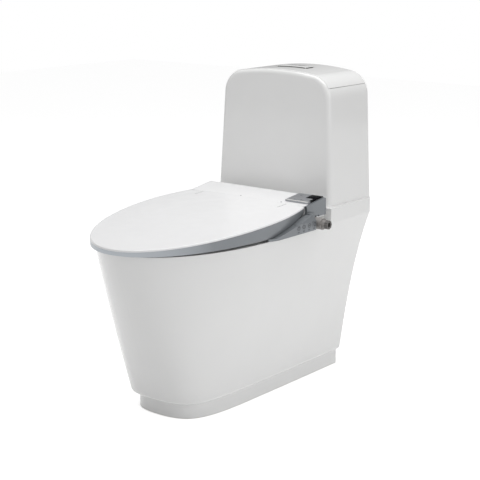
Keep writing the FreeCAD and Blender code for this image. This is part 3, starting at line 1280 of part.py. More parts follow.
def make_side_arms():
    """The grey end covers: an arm along the rim on each side, the right one with the controls."""
    low = sheet.arm_foot
    brow = sheet.arm_brow
    outside = sheet.arm_half
    inside = sheet.arm_inside
    tip = -sheet.arm_tip
    crease = math.tan(math.radians(sheet.crease_angle))
    rise = math.tan(math.radians(sheet.band_rise))
    start = -sheet.crease_start
    at_start = sheet.band_foot + (sheet.cover_reach + start) * rise - 1.2
    end = sheet.arm_rear

    def under_crease(place):
        return at_start + (place - start) * crease

    plan = Part.Wire([
        Part.makeLine(Vector(inside, end, low), Vector(inside, tip + 12, low)),
        bezier((inside, tip + 12, low), (inside + 6, tip, low), (outside - 10, tip, low)),
        bezier((outside - 10, tip, low), (outside - 1, tip + 8, low), (outside, tip + 34, low)),
        Part.makeLine(Vector(outside, tip + 34, low), Vector(outside, end, low)),
        Part.makeLine(Vector(outside, end, low), Vector(inside, end, low)),
    ])
    arm = prism(plan, low, sheet.hinge_height + 20)
    roof = side_profile(
        [(tip - 10, low - 5), (tip - 10, at_start), (start, at_start),
         (end + 1, under_crease(end + 1)), (end + 1, low - 5)],
        inside - 1, outside + 1,
    )
    arm = arm.common(roof)
    bevel = 14
    shoulder_top = inside + 7
    shoulder = Part.Face(Part.makePolygon([
        Vector(outside + 1, tip - 20, brow - 1), Vector(outside + 1, tip - 20, ABOVE),
        Vector(shoulder_top, tip - 20, ABOVE), Vector(shoulder_top, tip - 20, brow + bevel + 8),
        Vector(outside + 1, tip - 20, brow - 1),
    ])).extrude(Vector(0, 200, 0))
    arm = arm.cut(shoulder)
    return arm


def make_end_covers():
    arm = make_side_arms()
    half = sheet.housing_half
    low = sheet.tray_floor + 20
    top = sheet.housing_front_top
    bend = sheet.hinge_back + sheet.recess
    inner_face = sheet.plate_outside + 0.2
    cheek = housing_face(0, inner_face, half).cut(slab(
        (inner_face - 1, half + 1), (0, sheet.housing_rear + 1), (low - 40, low)
    ))
    cheek = cheek.cut(slab(
        (inner_face - 1, half - 2.6), (bend + 3, sheet.housing_rear - 3), (low - 1, top - 3)
    ))
    bridge = slab((half - 2, sheet.arm_inside + 8), (bend + 0.5, bend + 14), (low, top - 14))
    bridge = bridge.fuse(slab(
        (sheet.arm_inside, sheet.arm_inside + 8), (sheet.arm_rear - 6, bend + 2), (low, top - 14)
    ))
    inner = slab(
        (sheet.arm_inside + 2.5, sheet.arm_half - 2.5), (sheet.key_first - 9, sheet.arm_rear - 3),
        (sheet.arm_foot - 1, sheet.arm_brow - 4),
    )
    body = arm.cut(inner).fuse([cheek, bridge])
    place = sheet.knob_back
    clear = Part.makeCylinder(
        sheet.knob_radius + 0.8, 60, Vector(sheet.tray_half - 8, place, sheet.knob_height), Vector(1, 0, 0)
    )
    plain = body.cut(clear)
    bores = []
    for number in range(4):
        spot = sheet.key_first + number * sheet.key_pitch
        bores.append(Part.makeCylinder(
            sheet.key_radius + 0.35, 14, Vector(sheet.arm_half - 10, spot, sheet.key_height),
            Vector(1, 0, 0),
        ))
        bores.append(lamp(spot, 0))
    keep(feature("EndRight", plain.cut(bores)), "side_panel")
    left = mirrored(body)
    left = left.cut([
        slab((-half - 0.3, 0), (sheet.arm_rear - 20, sheet.housing_rear + 20), (low - 60, top + 60)),
        Part.makeCylinder(12.5, 60, Vector(-half - 20, sheet.housing_rear - 25, sheet.knob_height),
                          Vector(1, 0, 0)),
        Part.makeCylinder(8.5, 60, Vector(-half - 40, sheet.wand_origin, sheet.knob_height),
                          Vector(1, 0, 0)),
    ])
    keep(feature("EndLeft", left), "side_panel_left")


def lamp(spot, inset):
    """A pill-shaped lamp in the arm's outer face."""
    half_length = 3.6 - inset
    half_height = 1.3 - inset
    depth = sheet.arm_half - 3 + inset
    bar = slab((depth, sheet.arm_half + 0.2 - inset), (spot - half_length + 1.3, spot + half_length - 1.3),
               (sheet.lamp_height - half_height, sheet.lamp_height + half_height))
    ends = [
        Part.makeCylinder(half_height, 3.2 - 2 * inset, Vector(depth, spot + side * (half_length - 1.3),
                          sheet.lamp_height), Vector(1, 0, 0))
        for side in (-1, 1)
    ]
    return bar.fuse(ends)


def make_keys():
    """Four sprung buttons and four lamps in the arm's outer face, on a key board behind them."""
    lamps = []
    for number in range(4):
        spot = sheet.key_first + number * sheet.key_pitch
        lamps.append(lamp(spot, 0.1).common(slab((0, sheet.arm_half + 0.1), (-200, 200), (0, ABOVE))))
        key = rod(
            f"Key{number + 1}", "X", "key_radius",
            (f"key_first + {number} * key_pitch", "key_height"), ("arm_half - 7", "arm_half + 0.8"),
        )
        rounded = doc.addObject("Part::Fillet", f"KeyEase{number + 1}")
        rounded.Base = key
        doc.recompute()
        outer = key.Shape.BoundBox.XMax
        chosen = [
            count for count, edge in enumerate(key.Shape.Edges, 1)
            if near(edge.BoundBox.XMin, outer) and near(edge.BoundBox.XMax, outer)
        ]
        rounded.Edges = [(count, 0.7, 0.7) for count in chosen]
        keep(rounded, f"arm_button_{number + 1}")
    keep(feature("ArmLamps", Part.makeCompound(lamps)), "arm_lamps")
    board = block(
        "KeyBoard", ("arm_inside + 2.7", "arm_half - 7 - key_travel - 0.3"),
        ("key_first - 8", "arm_rear - 4"), ("lamp_height - 2", "key_height + 3"),
    )
    keep(board, "key_board")


def make_display():
    """The display plate and the dark window that lie on the housing's top at the right."""
    slope = (sheet.housing_rear_top - sheet.housing_front_top) / (sheet.housing_rear - sheet.cover_rear)

    def top(place):
        return sheet.housing_front_top + (place - sheet.cover_rear) * slope

    thick = sheet.plate_thickness
    front = sheet.plate_front
    rear = sheet.housing_rear - 1
    whole = side_profile(
        [(front, top(front) + 0.1), (front, top(front) + thick),
         (rear - 8, top(rear - 8) + thick - sheet.plate_taper),
         (rear - 2, top(rear - 2) + 1.2), (rear - 2, top(rear - 6)), (rear - 7.2, top(rear - 7.2) + 0.1)],
        sheet.plate_inside, sheet.plate_outside,
    )
    window_plan = Part.Wire(Part.makePolygon([
        Vector(sheet.plate_outside - 27, rear - 24, 0), Vector(sheet.plate_outside - 27, rear + 2, 0),
        Vector(sheet.plate_outside + 1, rear + 2, 0), Vector(sheet.plate_outside + 1, front + 9, 0),
        Vector(sheet.plate_outside - 6, front + 9, 0), Vector(sheet.plate_outside - 6, rear - 24, 0),
        Vector(sheet.plate_outside - 27, rear - 24, 0),
    ]))
    window_space = prism(window_plan, 0, ABOVE)
    window = whole.common(window_space)
    plate = whole.cut(window_space)
    housing_top = housing_face(-0.02, sheet.plate_inside - 2, sheet.plate_outside)
    keep(feature("Plate", plate.cut(housing_top)), "display_plate")
    keep(feature("Window", window.cut(housing_top)), "display_window")


def make_knob():
    """The filter knob: a turned body with a hexagon end on a stem in the tray's socket."""
    axis = Vector(1, 0, 0)

    def at(across):
        return Vector(across, sheet.knob_back, sheet.knob_height)

    body = Part.makeCylinder(sheet.knob_radius, sheet.knob_shoulder - sheet.knob_inside,
                             at(sheet.knob_inside), axis)
    end = Part.makeCylinder(10, sheet.knob_end - sheet.knob_shoulder, at(sheet.knob_shoulder), axis)
    hexagon = []
    for number in range(7):
        turn = math.radians(60 * number)
        hexagon.append(at(sheet.knob_end - 6) + Vector(0, 6.2 * math.cos(turn), 6.2 * math.sin(turn)))
    socket = Part.Face(Part.makePolygon(hexagon)).extrude(Vector(10, 0, 0))
    stem = Part.makeCylinder(6.1, 14, at(sheet.knob_inside - 14), axis)
    knob = body.fuse([end, stem]).cut(socket)
    notches = []
    for number in range(8):
        turn = math.radians(45 * number + 22.5)
        spot = at(sheet.knob_end - 11) + Vector(0, 11.2 * math.cos(turn), 11.2 * math.sin(turn))
        notches.append(Part.makeCylinder(2.2, 20, spot, axis))
    knob = knob.cut(notches)
    keep(feature("Knob", knob), "filter_knob")


def make_inner_works():
    """What the housing holds: heater, valve, dryer, board and the two fittings on the left."""
    floor = "tray_floor + tray_sheet"
    back = "housing_rear"
    keep(block("Heater", ("0-150", "0-70"), (f"{back} - 50", f"{back} - 8"),
               (floor, f"{floor} + works_top")), "water_heater")
    valve = join(
        "SolenoidValve",
        block("ValveBody", ("0-62", "0-30"), (f"{back} - 46", f"{back} - 12"), (floor, f"{floor} + 21")),
        rod("ValveCoil", "Z", "11", ("0-46", f"{back} - 29"), (f"{floor} + 21", f"{floor} + works_top + 4")),
    )
    keep(valve, "solenoid_valve")
    board_top = f"{floor} + works_top - 6"
    board = block("Board", ("plate_outside - 70", "plate_outside - 10"), (f"{back} - 50", f"{back} - 8"),
                  (f"{board_top} - 2", board_top))
    legs = [
        rod(f"BoardLeg{number}", "Z", "3", (x, y), (floor, f"{board_top} - 2"))
        for number, (x, y) in enumerate((
            ("plate_outside - 65", f"{back} - 44"), ("plate_outside - 15", f"{back} - 44"),
            ("plate_outside - 65", f"{back} - 13"), ("plate_outside - 15", f"{back} - 13"),
        ))
    ]
    keep(join("ControlBoard", board, *legs), "control_board")
    centre = ("dryer_across", f"{back} - dryer_setback")
    low = f"{floor} + duct_low"
    high = f"{floor} + duct_high"
    wide = "(duct_half + duct_wall)"
    inner = "(dryer_radius - 2)"
    duct = cut(
        "DryerDuct",
        join(
            "DryerSolid",
            block("DryerBox", (f"dryer_across - {wide}", f"dryer_across + {wide}"),
                  (f"{back} - 64", f"{back} - 50"), (f"{low} - 2", f"{high} + 2")),
            rod("DryerDrum", "Z", "dryer_radius", centre, (floor, f"{floor} + 33")),
            block("DryerNeck", ("dryer_across - duct_half + 3", "dryer_across + duct_half - 3"),
                  (f"{back} - 54", f"{back} - 32"), (f"{low} - 2", f"{high} + 2")),
        ),
        join(
            "DryerRoom",
            block("DryerBoxRoom", ("dryer_across - duct_half", "dryer_across + duct_half"),
                  (f"{back} - 65", f"{back} - 46"), (low, high)),
            rod("DryerDrumRoom", "Z", inner, centre, (f"{low} - 2", f"{floor} + 31")),
            rod("DryerMouth", "Z", "9", centre, (f"{floor} + 25", f"{floor} + 35")),
        ),
    )
    spindle = rod("DryerSpindle", "Z", "1.4", centre, (f"{low} - 3", f"{floor} + 26"))
    boss = rod("DryerBoss", "Z", "5", centre, (f"{low} - 3", f"{low} + 0.1"))
    keep(join("DryerBody", duct, spindle, boss), "dryer_duct")
    foot = sheet.tray_floor + sheet.tray_sheet + sheet.duct_low
    axle = Vector(sheet.dryer_across, sheet.housing_rear - sheet.dryer_setback, 0)
    rim = sheet.dryer_radius - 4
    blades = []
    for number in range(8):
        blade = slab((rim - 5, rim), (-0.8, 0.8), (foot + 1, foot + 20))
        blade.rotate(Vector(0, 0, 0), Vector(0, 0, 1), 45 * number)
        blades.append(blade.translated(axle))
    hub = Part.makeCylinder(4, 20, axle + Vector(0, 0, foot + 0.4))
    disc = Part.makeCylinder(rim, 1.6, axle + Vector(0, 0, foot + 0.4))
    bore = Part.makeCylinder(1.45, 40, axle + Vector(0, 0, foot - 12))
    keep(feature("Impeller", disc.fuse([hub] + blades).cut(bore)), "dryer_impeller")
    half = sheet.tray_half
    inlet_place = ("housing_rear - 25", "knob_height")
    inlet = cut(
        "Inlet",
        join(
            "InletSolid",
            rod("InletShank", "X", "10.4", inlet_place, ("0-housing_half - 18", "3 - tray_half")),
            rod("InletCollar", "X", "12", inlet_place, ("0-housing_half - 2.5", "0.3-tray_half - 0.3")),
        ),
        rod("InletBore", "X", "6", inlet_place, ("0-housing_half - 30", "10 - tray_half")),
    )
    keep(inlet, "water_inlet")
    gland_place = ("wand_origin", "knob_height")
    gland = cut(
        "Gland",
        join(
            "GlandSolid",
            rod("GlandShank", "X", "5", gland_place, ("0-housing_half - 12", "3 - tray_half")),
            rod("GlandCollar", "X", "8", gland_place, ("0-housing_half - 4", "0.3-tray_half - 0.3")),
        ),
        rod("GlandBore", "X", "3", gland_place, ("0-housing_half - 30", "10 - tray_half")),
    )
    keep(gland, "cable_gland")


# ---- the whole -------------------------------------------------------------------------------

def main():
    make_pan()
    make_outlet_seal()
    make_tank_lid()
    make_flush_buttons()
    make_flush_valve()
    make_fill_valve()
    make_tank_bolts()
    make_seat()
    make_cover()
    make_bracket()
    make_tray()
    make_housing()
    make_wand()
    make_end_covers()
    make_keys()
    make_display()
    make_knob()
    make_inner_works()
    doc.recompute()
    for thing in doc.Objects:
        if "Invalid" in thing.State or "Error" in thing.State:
            raise RuntimeError(f"{thing.Name} is {thing.State}")
    for piece in pieces:
        shape = piece.Shape
        if shape.isNull() or not shape.isValid() or not shape.Solids:
            raise RuntimeError(f"{piece.Label} isn't a valid solid")
    os.makedirs("parts", exist_ok=True)
    for piece in pieces:
        piece.Shape.exportStep(f"parts/{piece.Label}.step")
    print(len(pieces), "sub-parts written")


main()
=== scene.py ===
"""Looks of a two-piece smart toilet: glazed china, white washing seat, silver-grey side arm."""

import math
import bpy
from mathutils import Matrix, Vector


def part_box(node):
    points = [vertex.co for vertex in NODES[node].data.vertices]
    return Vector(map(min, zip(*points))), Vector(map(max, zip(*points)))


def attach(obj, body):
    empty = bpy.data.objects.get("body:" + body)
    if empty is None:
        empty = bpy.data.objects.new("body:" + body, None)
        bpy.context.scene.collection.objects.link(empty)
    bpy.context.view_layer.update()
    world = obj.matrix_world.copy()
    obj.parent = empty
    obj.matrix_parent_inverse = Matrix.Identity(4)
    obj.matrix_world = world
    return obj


bl_info = {
    "name": "Smart Toilet Looks",
    "version": (1, 0, 0),
    "blender": (4, 5, 0),
    "location": "3D View > Sidebar > Toilet",
    "description": "Dresses the packed smart toilet with its finishes, fine pieces and stage",
    "category": "Object",
}

import bmesh
import bpy
from bpy.props import FloatProperty, FloatVectorProperty, PointerProperty
from mathutils import Matrix, Vector
from mathutils.bvhtree import BVHTree

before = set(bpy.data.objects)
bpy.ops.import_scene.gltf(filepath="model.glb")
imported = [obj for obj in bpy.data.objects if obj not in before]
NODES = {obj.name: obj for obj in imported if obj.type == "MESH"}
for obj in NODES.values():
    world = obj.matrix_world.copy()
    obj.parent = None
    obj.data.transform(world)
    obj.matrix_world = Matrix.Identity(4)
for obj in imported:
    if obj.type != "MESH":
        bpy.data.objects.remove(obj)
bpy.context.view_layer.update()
MM = 0.001


# ---- properties ------------------------------------------------------------------------------

def tint(name, description, colour):
    return FloatVectorProperty(
        name=name, description=description, default=colour, subtype="COLOR", size=3, min=0, max=1
    )


def length(name, description, millimetres):
    return FloatProperty(
        name=name, description=description, default=millimetres * MM, min=0, subtype="DISTANCE",
        unit="LENGTH",
    )


def strength(name, description, value):
    return FloatProperty(name=name, description=description, default=value, min=0)


class ToiletColours(bpy.types.PropertyGroup):
    """The colours of the finishes, in linear light."""
    china: tint("China", "Glaze of the pan and the cistern", (0.895, 0.895, 0.89))
    bisque: tint("Bisque", "Unglazed china of the foot and the inside", (0.74, 0.72, 0.68))
    shell: tint("Mouldings", "White plastic of the seat, lid and housing", (0.94, 0.94, 0.945))
    button: tint("Button", "Plastic of the flush buttons", (0.90, 0.90, 0.90))
    trim: tint("Trim", "Silver-grey paint of the band and the side arms", (0.225, 0.24, 0.256))
    key: tint("Key", "Paint of the arm's buttons", (0.30, 0.315, 0.33))
    mark: tint("Mark", "Printed marks on the arm and the plate", (0.045, 0.05, 0.06))
    plate: tint("Plate", "Satin metal of the display plate", (0.44, 0.45, 0.475))
    window: tint("Window", "Smoked black of the display window", (0.008, 0.008, 0.010))
    knob: tint("Knob", "Warm grey plastic of the filter knob", (0.30, 0.285, 0.275))
    # painted shade: the gap colour darkens the bezel in the recess round the flush buttons, where
    # shade falls
    gap: tint("Gap", "Dark plastic in the flush button's bezel", (0.22, 0.22, 0.22))
    rubber: tint("Rubber", "Seals, washers and buffers", (0.52, 0.52, 0.50))
    works: tint("Works", "Moulded valves in the cistern", (0.66, 0.66, 0.63))
    dark_works: tint("Dark works", "Moulded parts inside the seat unit", (0.10, 0.10, 0.105))
    steel: tint("Steel", "Bolts, pins and bracket", (0.56, 0.56, 0.54))
    chrome: tint("Chrome", "Spray wand", (0.72, 0.72, 0.74))
    board: tint("Board", "Circuit boards", (0.015, 0.13, 0.045))
    floor: tint("Floor", "Floor and backdrop", (0.93, 0.93, 0.93))


class ToiletSizes(bpy.types.PropertyGroup):
    """Sizes of the fine pieces and of the stage."""
    mark_depth: length("Mark depth", "Thickness of a printed mark", 0.12)
    lens: FloatProperty(
        name="Lens", description="Focal length of the camera, in millimetres", default=97.5, min=10
    )
    key_light: strength("Key light", "Power of the large soft lamp above, in watts", 30.0)
    side_light: strength("Side light", "Power of the soft lamp at the side, in watts", 10.5)
    sky_light: strength("Sky light", "Strength of the even light from all round", 0.385)
    floor_glow: strength("Floor glow", "Lift that makes the bare floor render white", 0.62)


# ---- shader maths ----------------------------------------------------------------------------

class Signal:
    """A shader socket that takes part in arithmetic."""

    def __init__(self, graph, socket):
        self.graph = graph
        self.socket = socket

    def maths(self, operation, *others):
        return self.graph.node("ShaderNodeMath", {"operation": operation}, (self, *others))

    def __add__(self, other):
        return self.maths("ADD", other)

    def __mul__(self, other):
        return self.maths("MULTIPLY", other)

    def __gt__(self, other):
        return self.maths("GREATER_THAN", other)

    def __lt__(self, other):
        return self.maths("LESS_THAN", other)

    __radd__ = __add__
    __rmul__ = __mul__


class Finish:
    """A procedural material under construction, read in Object coordinates."""

    def __init__(self, name):
        self.material = bpy.data.materials.new(name)
        self.material.use_nodes = True
        self.tree = self.material.node_tree
        self.tree.nodes.clear()
        self.output = self.tree.nodes.new("ShaderNodeOutputMaterial")
        self.place = self.node("ShaderNodeTexCoord", {}, {}, "Object")

    def node(self, kind, settings, inputs, output=0):
        """Add a node, its settings first, then its sockets, and give back one output."""
        made = self.tree.nodes.new(kind)
        for key, value in settings.items():
            if key == "stops":
                self.set_stops(made, value)
            else:
                setattr(made, key, value)
        pairs = inputs.items() if isinstance(inputs, dict) else enumerate(inputs)
        for key, value in pairs:
            self.feed(made.inputs[key], value)
        return Signal(self, made.outputs[output])

    def set_stops(self, ramp, stops):
        elements = ramp.color_ramp.elements
        while len(elements) < len(stops):
            elements.new(0.5)
        for element, (position, shade) in zip(elements, stops):
            element.position = position
            element.color = (shade, shade, shade, 1)

    def feed(self, socket, value):
        if isinstance(value, Signal):
            self.tree.links.new(value.socket, socket)
        elif socket.type == "RGBA" and len(value) == 3:
            socket.default_value = (*value, 1)
        else:
            socket.default_value = value

    def axis(self, letter):
        return self.node("ShaderNodeSeparateXYZ", {}, (self.place,), letter)

    def cloud(self, scale, detail=2.0, stretch=(1, 1, 1)):
        """Noise with features about 1/scale metres wide, stretched along the axes."""
        place = self.node("ShaderNodeMapping", {}, {"Vector": self.place, "Scale": stretch})
        return self.node(
            "ShaderNodeTexNoise", {}, {"Vector": place, "Scale": scale, "Detail": detail}
        )

    def ramp(self, signal, *stops):
        """A grey ramp through the given (position, shade) stops."""
        return self.node("ShaderNodeValToRGB", {"stops": stops}, (signal,))

    def blend(self, share, first, second):
        """A colour between first and second."""
        return self.node(
            "ShaderNodeMix", {"data_type": "RGBA"}, {"Factor": share, 6: first, 7: second}, 2
        )

    def relief(self, height, distance, strength=1.0, under=None):
        sockets = {"Strength": strength, "Distance": distance, "Height": height}
        if under is not None:
            sockets["Normal"] = under
        return self.node("ShaderNodeBump", {}, sockets)

    def surface(self, **sockets):
        """Close the material with one shader whose sockets are given by name."""
        shader = self.node(
            "ShaderNodeBsdfPrincipled", {}, {key.replace("_", " "): v for key, v in sockets.items()}
        )
        self.tree.links.new(shader.socket, self.output.inputs[0])
        return self.material


def scaled(colour, factor):
    return tuple(min(1.0, channel * factor) for channel in colour)


# ---- finishes --------------------------------------------------------------------------------

def glazed_china(colour, bisque):
    """Fired glaze: slow waves in the surface, a few pinholes, bare china under the foot."""
    finish = Finish("Glazed china")
    height = finish.axis("Z")
    bare = (height < 0.0012)
    mottle = finish.ramp(finish.cloud(7, 3), (0.35, 0.0), (0.7, 1.0))
    glaze = finish.blend(mottle, colour, scaled(colour, 0.985))
    speck = finish.node(
        "ShaderNodeTexVoronoi", {"feature": "F1"}, {"Vector": finish.place, "Scale": 42.0}
    )
    pinhole = finish.ramp(speck, (0.0, 1.0), (0.018, 0.0))
    glaze = finish.blend(pinhole * 0.25, glaze, scaled(colour, 0.72))
    shade = finish.blend(bare, glaze, bisque)
    waves = finish.relief(finish.cloud(16, 1.0), 0.0011, 0.32)
    peel = finish.relief(finish.cloud(260, 2.0), 0.00006, 0.5, under=waves)
    rough = finish.ramp(finish.cloud(11, 2), (0.3, 0.075), (0.75, 0.13)) + bare * 0.7
    return finish.surface(
        Base_Color=shade, Roughness=rough, IOR=1.52, Normal=peel, Coat_Weight=0.35,
        Coat_Roughness=0.05,
    )


def moulded_white(name, colour, roughness=0.22):
    """Glossy white moulding with the faintest grain and handling marks."""
    finish = Finish(name)
    drift = finish.ramp(finish.cloud(9, 2), (0.3, 0.0), (0.75, 1.0))
    shade = finish.blend(drift, colour, scaled(colour, 0.985))
    rough = finish.ramp(finish.cloud(38, 3), (0.3, roughness - 0.03), (0.8, roughness + 0.05))
    grain = finish.relief(finish.cloud(1400, 2.0), 0.00003, 0.35)
    sink = finish.relief(finish.cloud(12, 1.0), 0.0004, 0.2, under=grain)
    return finish.surface(Base_Color=shade, Roughness=rough, IOR=1.49, Normal=sink)


def silver_paint(name, colour, metal=0.35, roughness=0.36, painted_nose_reflection=0.0):
    """Silver-grey paint: fine flakes over orange peel, and a painted reflection that makes it paler
    towards the nose, as strong as the last argument.
    """
    finish = Finish(name)
    flakes = finish.node(
        "ShaderNodeTexVoronoi", {"feature": "F1"}, {"Vector": finish.place, "Scale": 2600.0},
        "Color",
    )
    flake = finish.node("ShaderNodeSeparateColor", {}, (flakes,), "Red")
    drift = finish.cloud(13, 2)
    share = finish.ramp(flake * 0.55 + drift * 0.45, (0.2, 0.0), (0.8, 1.0))
    shade = finish.blend(share, scaled(colour, 0.92), scaled(colour, 1.09))
    if painted_nose_reflection:
        # painted reflection: the paint lightens towards the nose (negative Y), standing in for the
        # bright floor seen in it
        ahead = finish.ramp(finish.axis("Y") * -2.0, (0.55, 0.0), (0.88, 1.0))
        shade = finish.blend(ahead, shade, scaled(colour, 1.0 + painted_nose_reflection))
    rough = finish.ramp(flake, (0.1, roughness - 0.05), (0.9, roughness + 0.06))
    peel = finish.relief(finish.cloud(520, 2.0), 0.00005, 0.4)
    return finish.surface(
        Base_Color=shade, Metallic=metal, Roughness=rough, Normal=peel, Coat_Weight=0.15,
        Coat_Roughness=0.2,
    )


def satin_metal(name, colour, streak=(1, 60, 60), roughness=0.3):
    """Brushed metal whose streaks run along one axis."""
    finish = Finish(name)
    lines = finish.cloud(38, 3.0, streak)
    share = finish.ramp(lines, (0.3, 0.0), (0.7, 1.0))
    shade = finish.blend(share, scaled(colour, 0.9), scaled(colour, 1.08))
    rough = finish.ramp(lines, (0.25, roughness - 0.07), (0.75, roughness + 0.1))
    scratch = finish.relief(lines, 0.00003, 0.3)
    return finish.surface(Base_Color=shade, Metallic=1.0, Roughness=rough, Normal=scratch)


def threaded_metal(name, colour, pitch=0.00125):
    """Steel with a thread's ridges along the upright axis, darker in the grooves as painted shade.
    """
    finish = Finish(name)
    ridge = finish.node(
        "ShaderNodeMath", {"operation": "PINGPONG"}, (finish.axis("Z"), pitch / 2)
    ) * (2 / pitch)
    wear = finish.cloud(160, 3)
    # painted shade: the colour darkens towards the bottom of each groove; the wear cloud adds
    # random tone
    shade = finish.blend(finish.ramp(ridge * 0.7 + wear * 0.3, (0.2, 0.0), (0.8, 1.0)),
                         scaled(colour, 0.6), colour)
    rough = finish.ramp(wear, (0.3, 0.26), (0.8, 0.42))
    return finish.surface(
        Base_Color=shade, Metallic=1.0, Roughness=rough, Normal=finish.relief(ridge, 0.0004, 0.9)
    )


def mirror_chrome(colour):
    finish = Finish("Wand chrome")
    haze = finish.ramp(finish.cloud(90, 3), (0.35, 0.07), (0.8, 0.2))
    shade = finish.blend(finish.cloud(24, 2), scaled(colour, 0.95), colour)
    return finish.surface(Base_Color=shade, Metallic=1.0, Roughness=haze)


def smoked_window(colour):
    """Polished black window with the faint haze of wiping."""
    finish = Finish("Smoked window")
    wipe = finish.ramp(finish.cloud(60, 3, (1, 3, 1)), (0.35, 0.06), (0.8, 0.16))
    dust = finish.ramp(finish.cloud(900, 3), (0.62, 0.0), (0.8, 1.0))
    shade = finish.blend(dust, colour, scaled(colour, 3.0))
    return finish.surface(Base_Color=shade, Roughness=wipe, IOR=1.12, Specular_IOR_Level=0.05)


def grained_plastic(name, colour, roughness=0.5, grain=1500, depth=0.00006):
    """Moulded plastic with a spark-eroded grain."""
    finish = Finish(name)
    grains = finish.cloud(grain, 2.0)
    drift = finish.ramp(finish.cloud(30, 2) * 0.7 + grains * 0.3, (0.3, 0.0), (0.75, 1.0))
    shade = finish.blend(drift, scaled(colour, 0.93), scaled(colour, 1.05))
    rough = finish.ramp(grains, (0.3, roughness - 0.05), (0.75, roughness + 0.08))
    relief = finish.relief(grains, depth, 0.6)
    return finish.surface(Base_Color=shade, Roughness=rough, Normal=relief)


def knob_plastic(colour, shoulder=0.2145):
    """Warm grey moulding whose turning grip, beyond the shoulder, is darker."""
    finish = Finish("Knob grey")
    grains = finish.cloud(1800, 2.0)
    body = finish.blend(grains, scaled(colour, 0.95), scaled(colour, 1.05))
    shade = finish.blend(finish.axis("X") > shoulder, body, scaled(colour, 0.5))
    rough = finish.ramp(grains, (0.3, 0.38), (0.75, 0.5))
    relief = finish.relief(grains, 0.00006, 0.6)
    return finish.surface(Base_Color=shade, Roughness=rough, Normal=relief)


def soft_rubber(name, colour):
    finish = Finish(name)
    dust = finish.ramp(finish.cloud(320, 4), (0.35, 0.0), (0.8, 1.0))
    shade = finish.blend(dust, scaled(colour, 0.88), scaled(colour, 1.05))
    rough = finish.ramp(dust, (0.0, 0.62), (1.0, 0.8))
    return finish.surface(
        Base_Color=shade, Roughness=rough, Normal=finish.relief(finish.cloud(700, 3), 0.0001, 0.5)
    )


def circuit_board(colour):
    """Solder mask over copper runs, with a row of pads."""
    finish = Finish("Circuit board")
    runs = finish.node(
        "ShaderNodeTexBrick", {"offset": 0.5},
        {"Vector": finish.place, "Color1": (1, 1, 1), "Color2": (0.75, 0.75, 0.75),
         "Mortar": (0, 0, 0), "Scale": 120.0, "Mortar Size": 0.05},
    )
    copper = finish.ramp(runs, (0.1, 0.0), (0.4, 1.0))
    shade = finish.blend(copper, scaled(colour, 1.7), colour)
    rough = finish.ramp(finish.cloud(200, 2), (0.3, 0.3), (0.8, 0.45))
    relief = finish.relief(copper, 0.00008, 0.5)
    return finish.surface(Base_Color=shade, Roughness=rough, Normal=relief)


def printed_mark(colour):
    finish = Finish("Printed mark")
    ink = finish.ramp(finish.cloud(900, 3), (0.3, 0.0), (0.8, 1.0))
    shade = finish.blend(ink, colour, scaled(colour, 1.4))
    return finish.surface(Base_Color=shade, Roughness=0.55)


def node_slots(colours):
    """Which finish each CAD node wears."""
    china = glazed_china(colours.china, colours.bisque)
    shell = moulded_white("Moulded white", colours.shell)
    trim = silver_paint("Silver-grey paint", colours.trim)
    rubber = soft_rubber("Seal rubber", colours.rubber)
    works = grained_plastic("Valve plastic", colours.works, 0.45, 700)
    dark = grained_plastic("Dark moulding", colours.dark_works, 0.5, 900)
    board = circuit_board(colours.board)
    chrome = mirror_chrome(colours.chrome)
    steel = satin_metal("Brushed steel", colours.steel)
    thread = threaded_metal("Threaded steel", colours.steel)
    key = silver_paint("Key paint", colours.key, 0.3, 0.4)
    table = (
        (china, "bowl_pan bowl_basin trapway flush_channel tank_body tank_lid"),
        (shell, "lid_shell seat_upper_shell seat_lower_shell housing_cover"),
        (moulded_white("Button white", colours.button, 0.18),
         "flush_button_full flush_button_half"),
        # the band's paint is made paler towards the nose as a painted reflection
        (silver_paint("Band paint", scaled(colours.trim, 1.02), 0.35, 0.33, painted_nose_reflection=1.5),
         "lid_band"),
        (trim, "side_panel side_panel_left"),
        (key, "arm_button_1 arm_button_2 arm_button_3 arm_button_4"),
        (grained_plastic("Lamp", scaled(colours.mark, 2.0), 0.3), "arm_lamps"),
        (satin_metal("Plate metal", colours.plate, (1, 40, 40), 0.34), "display_plate"),
        (smoked_window(colours.window), "display_window"),
        (knob_plastic(colours.knob), "filter_knob"),
        # painted shade: the bezel round the flush buttons is darkened further to stand in for the
        # shade in its gap
        (grained_plastic("Bezel painted shade", scaled(colours.gap, 0.3), 0.6), "button_bezel"),
        (rubber, "outlet_seal tank_gasket tank_lid_pads flush_drum_seal tank_washers"
                 " seat_buffers lid_buffers"),
        (works, "flush_valve_base flush_valve_locknut flush_tower flush_drum fill_valve"
                " fill_valve_locknut fill_float bidet_tray tray_frame hinge_posts bracket_nuts"),
        (dark, "water_heater solenoid_valve dryer_duct dryer_impeller wand_guide cable_gland"),
        (steel, "seat_bracket hinge_pins tank_wing_nuts"),
        (thread, "tank_bolts bracket_bolts water_inlet"),
        (chrome, "spray_wand wand_sleeve"),
        (board, "key_board control_board"),
        (satin_metal("Heating foil", colours.steel, (30, 1, 1), 0.4), "seat_heating_foil"),
    )
    return {name: material for material, names in table for name in names.split()}


# ---- mesh helpers ----------------------------------------------------------------------------

SHARP = math.radians(38)


def new_piece(name, bm, material, body):
    """Turn a mesh into a piece that rides one body of the toilet."""
    mesh = bpy.data.meshes.new(name)
    bmesh.ops.recalc_face_normals(bm, faces=bm.faces)
    bm.to_mesh(mesh)
    bm.free()
    mesh.shade_smooth()
    mesh.set_sharp_from_angle(angle=SHARP)
    mesh.materials.append(material)
    piece = bpy.data.objects.new(name, mesh)
    bpy.context.scene.collection.objects.link(piece)
    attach(piece, body)
    return piece


